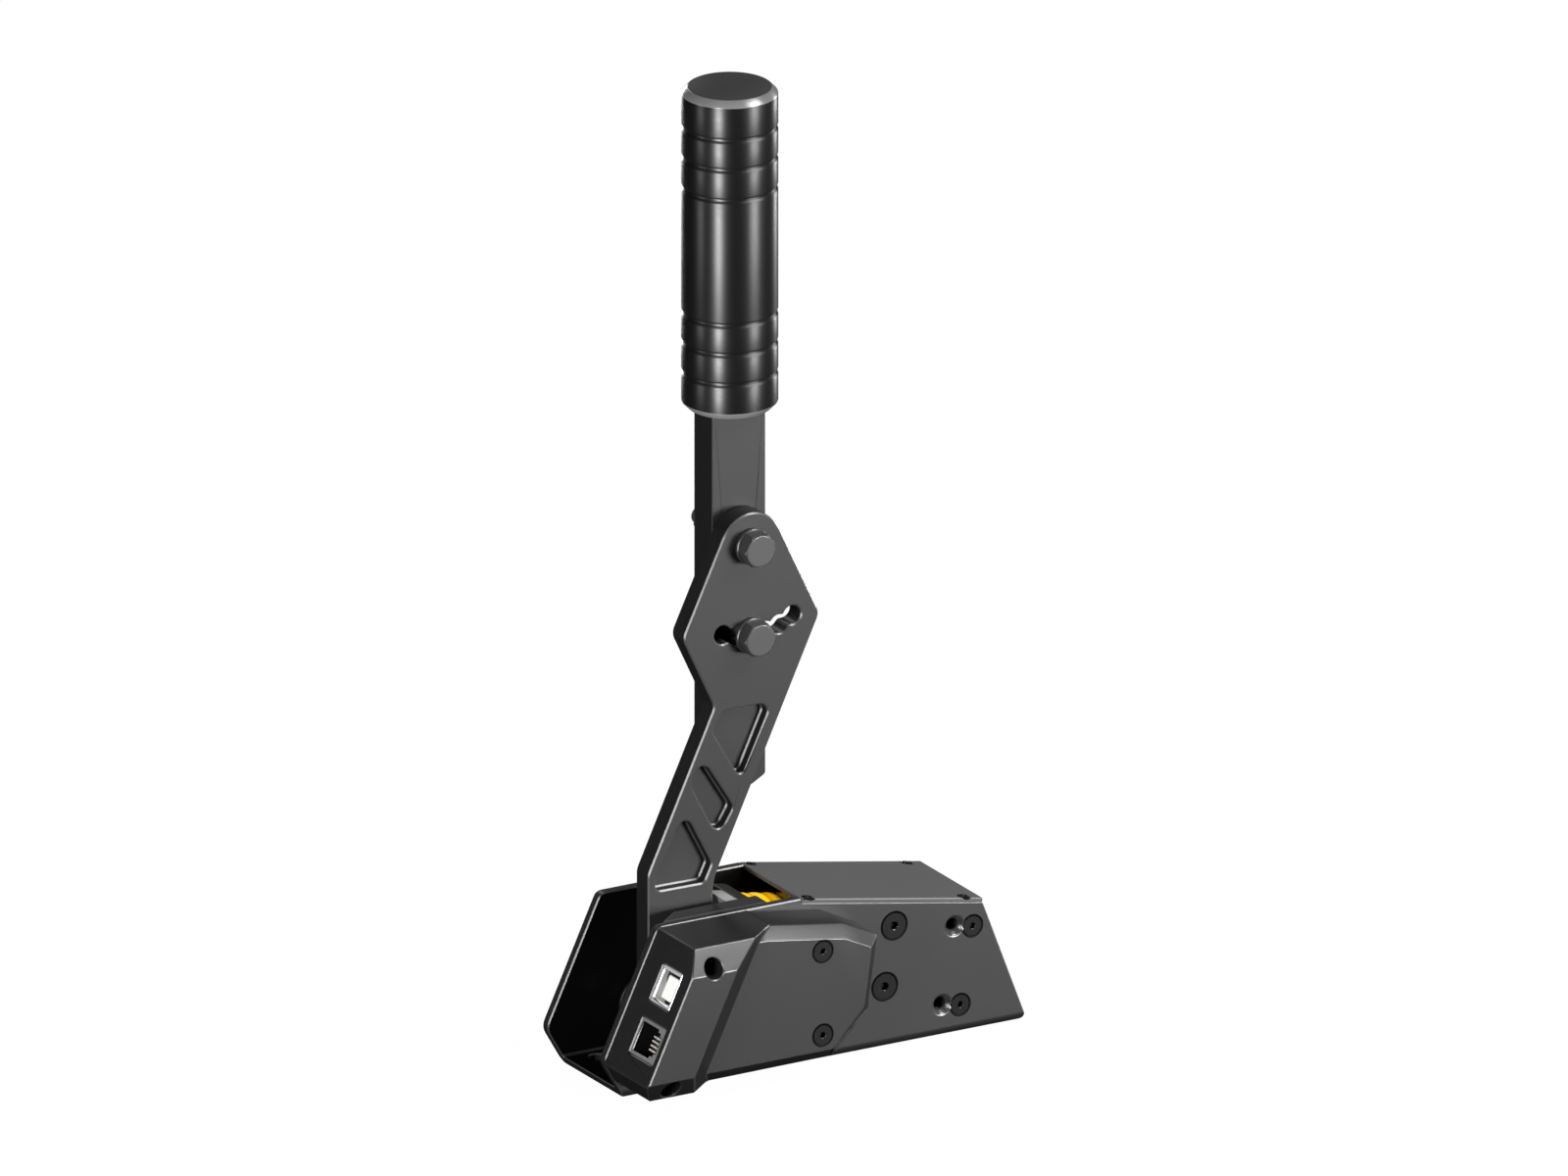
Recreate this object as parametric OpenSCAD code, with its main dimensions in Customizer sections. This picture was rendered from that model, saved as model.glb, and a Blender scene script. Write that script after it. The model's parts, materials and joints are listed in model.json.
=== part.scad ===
// Hand brake lever for a racing simulator, with an elastomer brake stack in a folded channel.
// Origin at the middle of the channel's underside. +Z is up, +X is the rear, +Y is the far side.

/* [Chassis] */
// Length of the channel where it stands
base_l = 151.7; // [148:0.1:156]
// Width over the two side walls
base_w = 41; // [40:0.1:44]
// Height of the flat top of the side walls
side_h = 57.6; // [56.5:0.1:60]
// Thickness of the folded sheet
wall_t = 3.5; // [3:0.1:4]
// Outside radius of the two folds
fold_r = 3.5; // [2:0.1:5]
// Height of the nose, where the front edge turns back
nose_h = 14.1; // [12:0.1:17]
// Lean of the front edge below the nose
nose_lean = 30; // [26:0.5:33]
// Lean of the front edge above the nose
front_lean = 25.2; // [24:0.1:26.5]
// Length of the flat top before the roof starts to fall
flat_top_l = 54.3; // [53:0.1:56]
// Fall of the roof, and tilt of the brake stack under it
roof_slope = 10; // [9:0.5:11]
// Lean of the rear edge
rear_lean = 20.2; // [16:0.1:22]
// Thickness of the roof plate
cover_t = 1.6; // [1.2:0.1:2.2]
// Spacing of the four floor holes along the channel
floor_hole_x = 130; // [120:1:134]
// Spacing of the four floor holes across the channel
floor_hole_y = 22; // [18:1:24]
// Radius of the floor holes, for M6 screws
floor_hole_r = 3.3; // [2.6:0.1:3.5]

/* [Brake stack] */
// Depth of the stack's axis under the flat top, over the middle of the channel
stack_drop = 21.7; // [21.3:0.1:22.3]
// Radius of an elastomer ring
ring_r = 15; // [13:0.1:15.5]
// Thickness of an elastomer ring
ring_t = 5.3; // [4.8:0.1:5.4]
// Number of elastomer rings
ring_count = 6; // [4:1:6]
// Radius of the pull rod
rod_r = 5; // [4:0.1:5.5]
// Thickness of the cross wall that the rings press on
web_t = 5.6; // [4:0.1:6]
// Place of the cross wall's rear face along the stack
web_m = -23.7; // [-24.2:0.1:-23.4]
// Thickness of the stop plate on the front of the cross wall
stop_t = 5.6; // [4.5:0.1:5.8]
// Thickness of the pressure washer behind the rings
press_t = 3; // [2:0.1:3.2]
// Thickness of the nut that sets the preload
preload_nut_t = 5.6; // [4.5:0.1:5.8]
// Place of the middle of the guide block along the stack
guide_m = 24.1; // [23.6:0.1:26]
// Thickness of the guide block
guide_t = 14; // [11:0.1:15]
// Place of the middle of the rear block along the stack
rear_m = 50.6; // [50.2:0.1:51]
// Thickness of the rear block
rear_t = 13; // [12:0.1:14]

/* [Lever] */
// Place of the lever's pivot along the channel
pivot_x = -47; // [-48:0.1:-46.4]
// Height of the lever's pivot
pivot_z = 17; // [16.6:0.1:17.6]
// Radius of the pivot shaft
shaft_r = 5; // [4:0.1:5.5]
// Radius of the arm's foot round the pivot
foot_r = 12.2; // [11:0.1:12.8]
// Thickness of the arm plate
arm_t = 8; // [7:0.1:8.5]
// Width of the arm between its parallel edges
arm_w = 25; // [23:0.1:26]
// Lean of the arm
arm_lean = 25; // [24:0.1:26]
// Half width of the arm's head across its corners
head_half = 25.8; // [24:0.1:27]
// Height of the corners of the arm's head over the flat top
head_rise = 92.6; // [91.4:0.1:94.4]
// Radius of the arm's top round the upper bolt
top_r = 11.5; // [10.5:0.1:13]
// Depth of the pockets in the arm's near face
pocket_d = 4; // [2:0.1:5]
// Sweep of the lever from rest to its stop
pull_sweep = 14; // [8:1:14]

/* [Handle] */
// Place of the handle's middle line along the channel
handle_x = -20.5; // [-21.5:0.1:-19.5]
// Height of the upper bolt, on which the handle tilts, over the flat top
tilt_rise = 120.5; // [119.4:0.1:122.4]
// Distance between the two handle bolts
bolt_pitch = 31; // [30:0.1:32]
// Radius of the lower bolt where it stands in the tilt slot
bolt_r = 2.2; // [2:0.05:2.3]
// Width of the handle bar
bar_w = 20; // [18:0.1:22]
// Thickness of the handle bar
bar_t = 12; // [10:0.1:14]
// Height of the lower end of the handle bar over the flat top
bar_foot_rise = 34; // [30.4:0.1:38.4]
// Radius of the grip
grip_r = 15.9; // [14.5:0.1:18]
// Length of the grip
grip_l = 110.7; // [100:0.1:125]
// Height of the lower end of the grip over the flat top
grip_rise = 165.1; // [154.4:0.1:174.4]
// Angle between two neighbouring notches of the tilt slot
notch_step = 10; // [9.5:0.1:10.5]
// Radius of a notch of the tilt slot
notch_r = 3.25; // [3.1:0.05:3.5]

/* [Electronics housing] */
// Reach of the connector box out from the chassis wall
box_out = 29; // [28:0.1:31]
// Reach of the housing's face plate out from the chassis wall
pad_out = 19.5; // [18.5:0.1:21]
// Width of the bevel round the face plate
pad_bevel = 4; // [2.5:0.1:4.5]
// Thickness of the housing's walls
shell_t = 2.4; // [1.8:0.1:2.8]
// Height of the middle of the square socket
usb_z = 43.3; // [42.6:0.1:44.5]
// Height of the middle of the modular jack
jack_z = 26.6; // [25.5:0.1:27]

/* [Hidden] */
$fn = 72;

// Clearances
slack = 0.05;
press_fit = 0.02;
gap = 0.3;
cut = 1;

// Side profile of the channel
half_w = base_w / 2;
inner_w = half_w - wall_t;
foot_x = base_l / 2;
nose_x = -foot_x - nose_h * tan(nose_lean);
front_top_x = nose_x + (side_h - nose_h) * tan(front_lean);
roof_x = front_top_x + flat_top_l;
rear_top_z = (side_h - (foot_x - roof_x) * tan(roof_slope)) / (1 - tan(rear_lean) * tan(roof_slope));
rear_top_x = foot_x - rear_top_z * tan(rear_lean);
// Where the line of the upper front edge meets the floor
front_foot_x = nose_x - nose_h * tan(front_lean);

// Heights of the lever and the handle
head_z = side_h + head_rise;
tilt_z = side_h + tilt_rise;
bar_foot_z = side_h + bar_foot_rise;
grip_z = side_h + grip_rise;

// Places along the stack, m, and across it, n
stack_z = side_h - stack_drop;
function to_m(x, z) = x * cos(roof_slope) - (z - stack_z) * sin(roof_slope);
function to_n(x, z) = x * sin(roof_slope) + (z - stack_z) * cos(roof_slope);
roof_n = to_n(roof_x, side_h);
roof_m0 = to_m(roof_x, side_h);
roof_m1 = to_m(rear_top_x, rear_top_z);
web_m0 = web_m - web_t;
stack_end = web_m + ring_count * ring_t;
press_end = stack_end + press_t;
nut_end = press_end + preload_nut_t;
guide_m0 = guide_m - guide_t / 2;
guide_m1 = guide_m + guide_t / 2;
rear_m0 = rear_m - rear_t / 2;
rear_m1 = rear_m + rear_t / 2;
rod_tail = guide_m1 + 5;
pivot_m = to_m(pivot_x, pivot_z);
pivot_n = to_n(pivot_x, pivot_z);
// The rod's pin starts half the sweep behind the pivot and ends half the sweep before it
pin_m = pivot_m - pivot_n * tan(pull_sweep / 2);
pin_reach = -pivot_n / cos(pull_sweep / 2);
pin_r = 2.5;
rod_travel = -2 * pivot_n * tan(pull_sweep / 2);

// Layers across the channel
cheek_y = -9.6;
arm_y0 = -7;
arm_y1 = arm_y0 + arm_t;
tongue_t = arm_t / 2;
tongue_y = (arm_y0 + arm_y1) / 2;
bar_y0 = arm_y1 + 0.2;
bar_y1 = bar_y0 + bar_t;
handle_y = (bar_y0 + bar_y1) / 2;
hub_collar_t = 8;
hub_r = 8;
hub_collar_r = 11.5;
bush_flange_t = 1.5;

// Screws, as head radius, shank radius and head depth
m4 = [4.5, 2, 2.4];
m3 = [3.45, 1.5, 1.9];
m2 = [1.9, 1, 1];
thread_l = 9;
guide_screw_n = 10.4;
rear_hole_m = rear_m - 3.4;
rear_screw_m = rear_m + 3.5;
rear_high = stack_drop - 5.7;
rear_low = (stack_z - rear_m1 * sin(roof_slope) - wall_t - 1.8) / cos(roof_slope);
rear_upper_n = rear_high - 5.8;
rear_lower_n = 4.3 - rear_low;

// Bolts
hex_af = 10.6;
hex_t = 4.8;
hex_rise = 1.3;
washer_t = 1.6;
washer_r = 6.2;
nut_t = 6;
thread_r = 3;
head_y = arm_y0 - 2 * slack - washer_t;
bolt_tail = 6.6;
bolt_end = bar_y1 + washer_t + nut_t + bolt_tail;
bolt_z = tilt_z - bolt_pitch;

// Housing
housing_foot = 7.7;
box_foot_z = 7.3;
box_y = -half_w - box_out;
pad_y = -half_w - pad_out;
rim_y = pad_y + 4;
box_chamfer_y = 5;
box_chamfer_z = 8.1;
box_low_y = 6;
box_low_z = 15;
box_depth = 17.2;
box_slant = 1.2;
board_y = box_y + 18.5;
board_t = 1.6;
usb_w = 12.5;
usb_h = 12.9;
usb_y = -half_w - 16.8;
usb_d = 16;
usb_skin = 1.3;
usb_tongue = [2.9, 4];
jack_w = 15.2;
jack_h = 12.8;
jack_y = -half_w - 18.5;
jack_d = 14;
// Steps of the jack's cavity, each as near side, far side, half height and depth
jack_steps = [[-3.2, 6.5, 5.1, 11], [-5, -3.1, 4.1, 10], [-6.3, -4.9, 2.9, 10]];
contact_t = 0.5;
contact_l = 9;
contact_pitch = 1.27;
contact_lean = 25;
face_screw_x = -12.6;
face_screw_zs = [17, 46.1];

// A closed outline whose corners [x, z, radius] are rounded by arcs
function unit(v) = v / norm(v);
function turn(v) = atan2(v[1], v[0]);
function arc_corner(a, b, c, r) =
    r == 0 ? [b] :
    let (u = unit(a - b), w = unit(c - b), half = acos(u * w) / 2)
    let (mid = b + unit(u + w) * r / sin(half), reach = r / tan(half))
    let (a0 = turn(b + u * reach - mid), sweep = (turn(b + w * reach - mid) - a0 + 540) % 360 - 180)
    let (steps = max(2, ceil(abs(sweep) / 12)))
    [for (i = [0:steps]) mid + r * [cos(a0 + sweep * i / steps), sin(a0 + sweep * i / steps)]];
function flat(p) = [p[0], p[1]];
function outline(p) = [for (i = [0:len(p) - 1])
    each arc_corner(flat(p[(i + len(p) - 1) % len(p)]), flat(p[i]), flat(p[(i + 1) % len(p)]), p[i][2])];

// Stands a drawing in X and Z up between two values of Y
module along_y(y0, y1) {
    translate([0, y1, 0]) rotate([90, 0, 0]) linear_extrude(y1 - y0) children();
}

// Lays a drawing in Y and Z along X between two values of X
module along_x(x0, x1) {
    translate([x0, 0, 0]) rotate([90, 0, 90]) linear_extrude(x1 - x0) children();
}

// The frame of the brake stack: X along the rod to the rear, Z across it
module on_stack() {
    translate([0, 0, stack_z]) rotate([0, roof_slope, 0]) children();
}

// The frame of the leaning front face: X into the housing, Z up the slope
module on_front() {
    translate([front_foot_x, 0, 0]) rotate([0, front_lean, 0]) children();
}

// A block between two corners
module block(low, high) {
    translate(low) cube(high - low);
}

// A round bar along Y
module rod_y(x, z, y0, y1, r) {
    translate([x, y0, z]) rotate([-90, 0, 0]) cylinder(h = y1 - y0, r = r);
}

// A round bar along X
module rod_x(x0, x1, r) {
    translate([x0, 0, 0]) rotate([0, 90, 0]) cylinder(h = x1 - x0, r = r);
}

// A countersunk screw that points down from its head's flat face
module flat_screw(size, length) {
    difference() {
        union() {
            translate([0, 0, -size[2]]) cylinder(h = size[2], r1 = size[1], r2 = size[0]);
            translate([0, 0, -length]) cylinder(h = length - size[2], r = size[1]);
        }
        translate([0, 0, -size[2] * 0.8]) cylinder(h = size[2], r = size[1] * 0.75, $fn = 6);
    }
}

// The hole that a countersunk screw seats in
module flat_screw_hole(size, length) {
    rim = 0.3;
    translate([0, 0, -size[2]]) cylinder(h = size[2] + slack, r1 = size[1] + slack, r2 = size[0] + rim);
    translate([0, 0, -length]) cylinder(h = length, r = size[1] + slack);
}

// Repeats something on the near wall and, turned round, on the far wall
module both_walls(m, n) {
    for (side = [-1, 1]) {
        translate([m, side * half_w, n]) rotate([side > 0 ? -90 : 90, 0, 0]) children();
    }
}

// The four places of the block screws and the four of the rear block's screws
module at_guide_screws() {
    on_stack() for (n = [-guide_screw_n, guide_screw_n]) both_walls(guide_m, n) children();
}

module at_rear_screws() {
    on_stack() for (n = [rear_lower_n, rear_upper_n]) both_walls(rear_screw_m, n) children();
}

module at_rear_holes() {
    on_stack() for (n = [rear_lower_n, rear_upper_n]) both_walls(rear_hole_m, n) children();
}

module at_roof_screws() {
    on_stack() for (m = [roof_m0 + 3.5, roof_m1 - 6.2]) {
        for (side = [-1, 1]) translate([m, side * (half_w - wall_t / 2), roof_n]) children();
    }
}

// The places on the housing's face of the screws that hold it to the wall
module at_face_screws() {
    for (z = face_screw_zs) translate([face_screw_x, pad_y, z]) rotate([90, 0, 0]) children();
}

// The folded channel
module channel_section() {
    inner_r = max(0.5, fold_r - wall_t + 1);
    difference() {
        union() {
            translate([-half_w, fold_r]) square([base_w, side_h]);
            translate([-half_w + fold_r, 0]) square([base_w - 2 * fold_r, side_h]);
            for (side = [-1, 1]) translate([side * (half_w - fold_r), fold_r]) circle(r = fold_r);
        }
        translate([-inner_w, wall_t + inner_r]) square([2 * inner_w, 2 * side_h]);
        translate([-inner_w + inner_r, wall_t]) square([2 * (inner_w - inner_r), side_h]);
        for (side = [-1, 1]) translate([side * (inner_w - inner_r), wall_t + inner_r]) circle(r = inner_r);
    }
}

wall_profile = outline([
    [-foot_x, 0, 2],
    [nose_x, nose_h, 5],
    [front_top_x, side_h, 3],
    [roof_x, side_h, 0],
    [roof_x - cover_t * sin(roof_slope), side_h - cover_t * cos(roof_slope), 0],
    [rear_top_x, rear_top_z - cover_t / cos(roof_slope), 0],
    [foot_x, 0, 2]]);

module chassis() color([0.16, 0.16, 0.17]) {
    difference() {
        intersection() {
            along_y(-half_w, half_w) polygon(wall_profile);
            along_x(-base_l, base_l) channel_section();
        }
        for (x = [-1, 1], y = [-1, 1]) {
            translate([x * floor_hole_x / 2 - 3, y * floor_hole_y / 2, -cut])
                cylinder(h = wall_t + 2 * cut, r = floor_hole_r);
        }
        at_guide_screws() flat_screw_hole(m4, 2 * wall_t);
        at_rear_screws() flat_screw_hole(m3, 2 * wall_t);
        at_rear_holes() flat_screw_hole([3.35, m4[1], 2], 2 * wall_t);
        at_roof_screws() translate([0, 0, -6]) cylinder(h = 6, r = m2[1] + slack);
        rod_y(pivot_x, pivot_z, -half_w - cut, 0, hub_r);
        rod_y(pivot_x, pivot_z, 0, half_w + cut, hub_r + slack);
        for (z = face_screw_zs) rod_y(face_screw_x, z, -half_w - cut, 0, m3[1] + slack);
        for (spot = box_screw_spots) rod_y(spot[0], spot[1], -half_w - cut, 0, m3[1] + slack);
        for (dx = sensor_screw_dx) rod_y(pivot_x + dx, pivot_z, -half_w - cut, 0, m2[1] + slack);
        at_bracket_screws() flat_screw_hole(m4, 2 * wall_t);
    }
}

module roof_plate() color([0.2, 0.2, 0.21]) {
    difference() {
        on_stack() block([roof_m0, -half_w, roof_n - cover_t], [roof_m1, half_w, roof_n]);
        at_roof_screws() flat_screw_hole(m2, 2 * cover_t);
    }
}

module roof_screws() color([0.12, 0.12, 0.13]) at_roof_screws() flat_screw(m2, 5.5);

// The places of the screws that hold the inner bracket to the near wall
bracket_screw_spots = [[-56, 38], [-33, 9], [-66, 11]];
module at_bracket_screws() {
    for (spot = bracket_screw_spots) translate([spot[0], -half_w, spot[1]]) rotate([90, 0, 0]) children();
}

// The inner bracket: a cheek along the near wall and a cross wall that the rings press on
web_top = stack_drop - 5.8;
bracket_foot = wall_t + 1.5;
module pivot_bracket() color([0.13, 0.13, 0.14]) {
    lead = 2.2;
    ramp = 10;
    deep = 2 * side_h;
    front_x = front_top_x + lead;
    cheek_front = [
        [-cut, -inner_w - cut],
        [-cut, cheek_y + cut],
        [ramp, cheek_y + cut],
        [0, -inner_w - cut]];
    difference() {
        union() {
            difference() {
                along_y(-inner_w, cheek_y) polygon(outline([
                    [nose_x + lead + 7, bracket_foot, 2],
                    [nose_x + lead, nose_h, 4],
                    [front_x, side_h, 0],
                    [roof_x, side_h, 0],
                    [roof_x, bracket_foot, 0]]));
                on_stack() block([web_m, -base_w, -deep], [deep, base_w, deep]);
            }
            intersection() {
                block([-foot_x, -inner_w, bracket_foot], [foot_x, inner_w, side_h]);
                on_stack() along_x(web_m0, web_m) polygon(outline([
                    [-inner_w, -deep, 0],
                    [-inner_w, web_top, 0],
                    [inner_w, web_top, 9],
                    [inner_w, -deep, 0]]));
            }
        }
        // The sloped front of the cheek, the pivot's bore and the rod's bore
        on_front() translate([lead, 0, -side_h]) linear_extrude(4 * side_h) polygon(cheek_front);
        rod_y(pivot_x, pivot_z, -half_w, 0, hub_r + slack);
        on_stack() rod_x(web_m0 - cut, web_m + cut, rod_r + 2 + slack);
        at_bracket_screws() translate([0, 0, -wall_t - thread_l - cut])
            cylinder(h = thread_l + 2 * cut, r = m4[1] + slack);
        at_stop_screws() translate([0, 0, -stop_t - stop_thread_l]) cylinder(h = web_t, r = m2[1] + slack);
    }
}

module bracket_screws() color([0.1, 0.1, 0.1]) at_bracket_screws() flat_screw(m4, 10);

// The bare steel plate on the front of the cross wall that carries the lever's rubber stop
stop_low = 6.2;
stop_far = 3.1;
module stop_plate() color([0.62, 0.62, 0.6]) difference() {
    on_stack() along_x(web_m0 - stop_t, web_m0) polygon(outline([
        [cheek_y, stop_low, 0],
        [cheek_y, web_top, 0],
        [stop_far, web_top, 1.5],
        [stop_far, stop_low, 1.5]]));
    at_stop_screws() translate([0, 0, -stop_t - cut]) cylinder(h = stop_t + 2 * cut, r = m2[1] + slack);
}

// The two screws of the stop plate, under the bumper
bumper_n = 12.4;
stop_screw_n = 8.3;
stop_thread_l = 4;
module at_stop_screws() {
    on_stack() for (y = [cheek_y + 2.4, stop_far - 2.4]) translate([web_m0 - stop_t, y, stop_screw_n])
        rotate([0, -90, 0]) children();
}

module stop_screws() color([0.1, 0.1, 0.1]) at_stop_screws() {
    translate([0, 0, -stop_t - stop_thread_l]) cylinder(h = stop_t + stop_thread_l, r = m2[1]);
    difference() {
        cylinder(h = 1.2, r = m2[0]);
        translate([0, 0, 0.5]) cylinder(h = 2, r = 0.8, $fn = 6);
    }
}

module stop_bumper() color([0.05, 0.05, 0.05]) {
    bumper_r = 3.2;
    bumper_z = stack_z - web_m0 * sin(roof_slope) + bumper_n * cos(roof_slope);
    face_m = to_m(neck_abs, bumper_z) + gap + bumper_r * tan(roof_slope);
    on_stack() translate([0, tongue_y, bumper_n]) rod_x(face_m, web_m0 - stop_t, bumper_r);
}

module guide_block() color([0.3, 0.3, 0.31]) {
    block_h = stack_drop - 6.2;
    difference() {
        on_stack() along_x(guide_m0, guide_m1) polygon(outline([
            [-inner_w, -block_h, 0],
            [-inner_w, block_h, 2],
            [inner_w, block_h, 2],
            [inner_w, -block_h, 0],
            [inner_w - 5, -block_h - 4, 3],
            [-inner_w + 5, -block_h - 4, 3]]));
        on_stack() rod_x(guide_m0 - cut, guide_m1 + cut, rod_r + 2 + slack);
        at_guide_screws() translate([0, 0, -wall_t - thread_l - cut])
            cylinder(h = thread_l + 2 * cut, r = m4[1] + slack);
    }
}

module rear_block() color([0.3, 0.3, 0.31]) {
    difference() {
        on_stack() along_x(rear_m0, rear_m1) polygon(outline([
            [-inner_w, -rear_low, 2],
            [-inner_w, rear_high, 2],
            [inner_w, rear_high, 2],
            [inner_w, -rear_low, 2]]));
        on_stack() rod_x(rear_m0 - cut, rear_m1 + cut, rod_r + 2);
        at_rear_screws() translate([0, 0, -wall_t - thread_l - cut])
            cylinder(h = thread_l + 2 * cut, r = m3[1] + slack);
        at_rear_holes() translate([0, 0, -wall_t - thread_l - cut])
            cylinder(h = thread_l + 2 * cut, r = m4[1] + slack);
    }
}

module block_screws() color([0.1, 0.1, 0.1]) at_guide_screws() flat_screw(m4, 11);

module rear_block_screws() color([0.1, 0.1, 0.1]) at_rear_screws() flat_screw(m3, 11);

module web_bush() color([0.1, 0.1, 0.1]) on_stack() difference() {
    rod_x(web_m0, web_m, rod_r + 2);
    rod_x(web_m0 - cut, web_m + cut, rod_r + slack);
}

module guide_bush() color([0.1, 0.1, 0.1]) on_stack() difference() {
    union() {
        rod_x(guide_m0, guide_m1, rod_r + 2);
        rod_x(guide_m1, guide_m1 + bush_flange_t, rod_r + 3.5);
    }
    rod_x(guide_m0 - cut, guide_m1 + bush_flange_t + cut, rod_r + slack);
}

module near_pivot_bush() color([0.1, 0.1, 0.1]) difference() {
    rod_y(pivot_x, pivot_z, -inner_w, cheek_y, hub_r);
    rod_y(pivot_x, pivot_z, -base_w, base_w, shaft_r + slack);
}

module far_pivot_bush() color([0.1, 0.1, 0.1]) difference() {
    union() {
        rod_y(pivot_x, pivot_z, inner_w, half_w - 0.1, hub_r);
        rod_y(pivot_x, pivot_z, inner_w - bush_flange_t, inner_w, hub_r + 2);
    }
    rod_y(pivot_x, pivot_z, -base_w, base_w, shaft_r + slack);
}

// The small board that reads the turning magnet through the wall's hole
sensor_y = -half_w - 3.4;
sensor_screw_dx = [-12, 12];
module at_board_screws() {
    for (dx = sensor_screw_dx) translate([pivot_x + dx, sensor_y - board_t, pivot_z]) rotate([90, 0, 0])
        children();
}

module sensor_board() color([0.05, 0.22, 0.12]) difference() {
    along_y(sensor_y - board_t, sensor_y) translate([pivot_x, pivot_z]) polygon(outline([
        [-15, -6, 1.5], [-15, 6, 1.5], [15, 6, 1.5], [15, -6, 1.5]]));
    at_board_screws() translate([0, 0, -2 * board_t]) cylinder(h = 3 * board_t, r = m2[1] + slack);
}

module board_spacers() color([0.6, 0.6, 0.6]) for (dx = sensor_screw_dx) difference() {
    rod_y(pivot_x + dx, pivot_z, sensor_y, -half_w, 2.2);
    rod_y(pivot_x + dx, pivot_z, sensor_y - cut, -half_w + cut, m2[1] + slack);
}

module board_screws() color([0.5, 0.5, 0.5]) at_board_screws() {
    shank_l = board_t - sensor_y - half_w + 2;
    translate([0, 0, -shank_l]) cylinder(h = shank_l, r = m2[1]);
    difference() {
        cylinder(h = 1.4, r = m2[0]);
        translate([0, 0, 0.6]) cylinder(h = 2, r = 0.8, $fn = 6);
    }
}

module hall_sensor() color([0.06, 0.06, 0.06]) {
    block([pivot_x - 2.5, sensor_y, pivot_z - 2], [pivot_x + 2.5, sensor_y + 1.1, pivot_z + 2]);
}

// One ring with a rounded rim, about its own axis
module elastomer_ring() {
    rim = 1.9;
    rotate([0, 90, 0]) rotate_extrude() polygon(outline([
        [rod_r + 0.4, 0, 0.3],
        [ring_r, 0, rim],
        [ring_r, ring_t - 2 * slack, rim],
        [rod_r + 0.4, ring_t - 2 * slack, 0.3]]));
}

module elastomer_rings() color([0.86, 0.6, 0.08]) {
    on_stack() for (i = [0:ring_count - 1]) translate([web_m + i * ring_t + slack, 0, 0]) elastomer_ring();
}

// The rod: a shank, a flat tongue that enters the arm, and a shoulder between them
module pull_rod() color([0.55, 0.55, 0.56]) {
    shoulder_m = pin_m + 5.8;
    difference() {
        union() {
            on_stack() rod_x(shoulder_m, rod_tail, rod_r);
            on_stack() along_y(tongue_y - tongue_t / 2, tongue_y + tongue_t / 2) union() {
                translate([pin_m, 0]) circle(r = 4.6);
                translate([pin_m, -rod_r + 0.6]) square([shoulder_m + 2 - pin_m, 2 * (rod_r - 0.6)]);
            }
        }
        on_stack() rod_y(pin_m, 0, -base_w, base_w, pin_r + press_fit);
    }
}

module rod_pin() color([0.6, 0.6, 0.6]) {
    on_stack() rod_y(pin_m, 0, arm_y0 + 0.3, arm_y1 - 0.3, pin_r);
}

module pressure_washer() color([0.25, 0.25, 0.26]) {
    difference() {
        on_stack() rod_x(stack_end, press_end, ring_r);
        on_stack() rod_x(stack_end - cut, press_end + cut, rod_r + press_fit);
    }
}

module preload_nut() color([0.6, 0.6, 0.6]) {
    difference() {
        on_stack() translate([press_end, 0, 0]) rotate([0, 90, 0])
            cylinder(h = preload_nut_t, r = rod_r * 1.7, $fn = 6);
        on_stack() rod_x(press_end - cut, nut_end + cut, rod_r + press_fit);
    }
}

// The arm's outline, about the handle's middle line
arm_right = pivot_x + foot_r - handle_x - 0.2;
arm_left = pivot_x - foot_r - handle_x - 0.2;
waist_z = side_h + 66.9;
right_kink_z = head_z - (head_half - arm_right) / tan(arm_lean);
edge_run = arm_w / cos(arm_lean);
function right_edge_x(z) = head_half - (head_z - z) * tan(arm_lean);
function left_edge_x(z) = right_edge_x(z) - edge_run;
left_kink_z = head_z - (head_half - edge_run - arm_left) / tan(arm_lean);
neck_x = arm_right - 1.2;
neck_abs = handle_x + neck_x;
arm_outline = outline([
    [0, tilt_z + top_r / sin(arm_lean) - 0.35, top_r],
    [head_half, head_z, 5],
    [arm_right, right_kink_z, 20],
    [arm_right, side_h - 1, 2],
    [neck_x, side_h - 3.5, 2],
    [neck_x, pivot_z, 0],
    [arm_left, pivot_z, 0],
    [arm_left, left_kink_z, 6],
    [left_edge_x(waist_z), waist_z, 4],
    [-head_half, head_z, 5]]);

// The three pockets, drawn about the handle's middle line and over the flat top
pocket_outlines = [
    [[-10.5, 64.9, 3], [7.8, 64.9, 3], [-3.9, 39.9, 2], [-14.7, 58.7, 3]],
    [[-18.3, 49.9, 3], [-6.5, 31.2, 3], [-12.6, 21.4, 3], [-23, 41.9, 3]],
    [[-25, 32.9, 3], [-14.8, 12.9, 3], [-17.8, 6.7, 2], [-36, 6.9, 2], [-36, 11.4, 2]]];

// The notched arc slot round the upper bolt
notch_low = -2;
notch_high = 3;
neck_half = bolt_r + 0.12;
module tilt_slot() {
    for (i = [notch_low:notch_high]) {
        rotate([0, 0, i * notch_step]) translate([0, -bolt_pitch]) circle(r = notch_r);
    }
    intersection() {
        difference() {
            circle(r = bolt_pitch + neck_half);
            circle(r = bolt_pitch - neck_half);
        }
        reach = 2 * bolt_pitch;
        polygon([
            [0, 0],
            [reach * sin(notch_low * notch_step), -reach * cos(notch_low * notch_step)],
            [0, -2 * reach],
            [reach * sin(notch_high * notch_step), -reach * cos(notch_high * notch_step)]]);
    }
}

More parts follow.
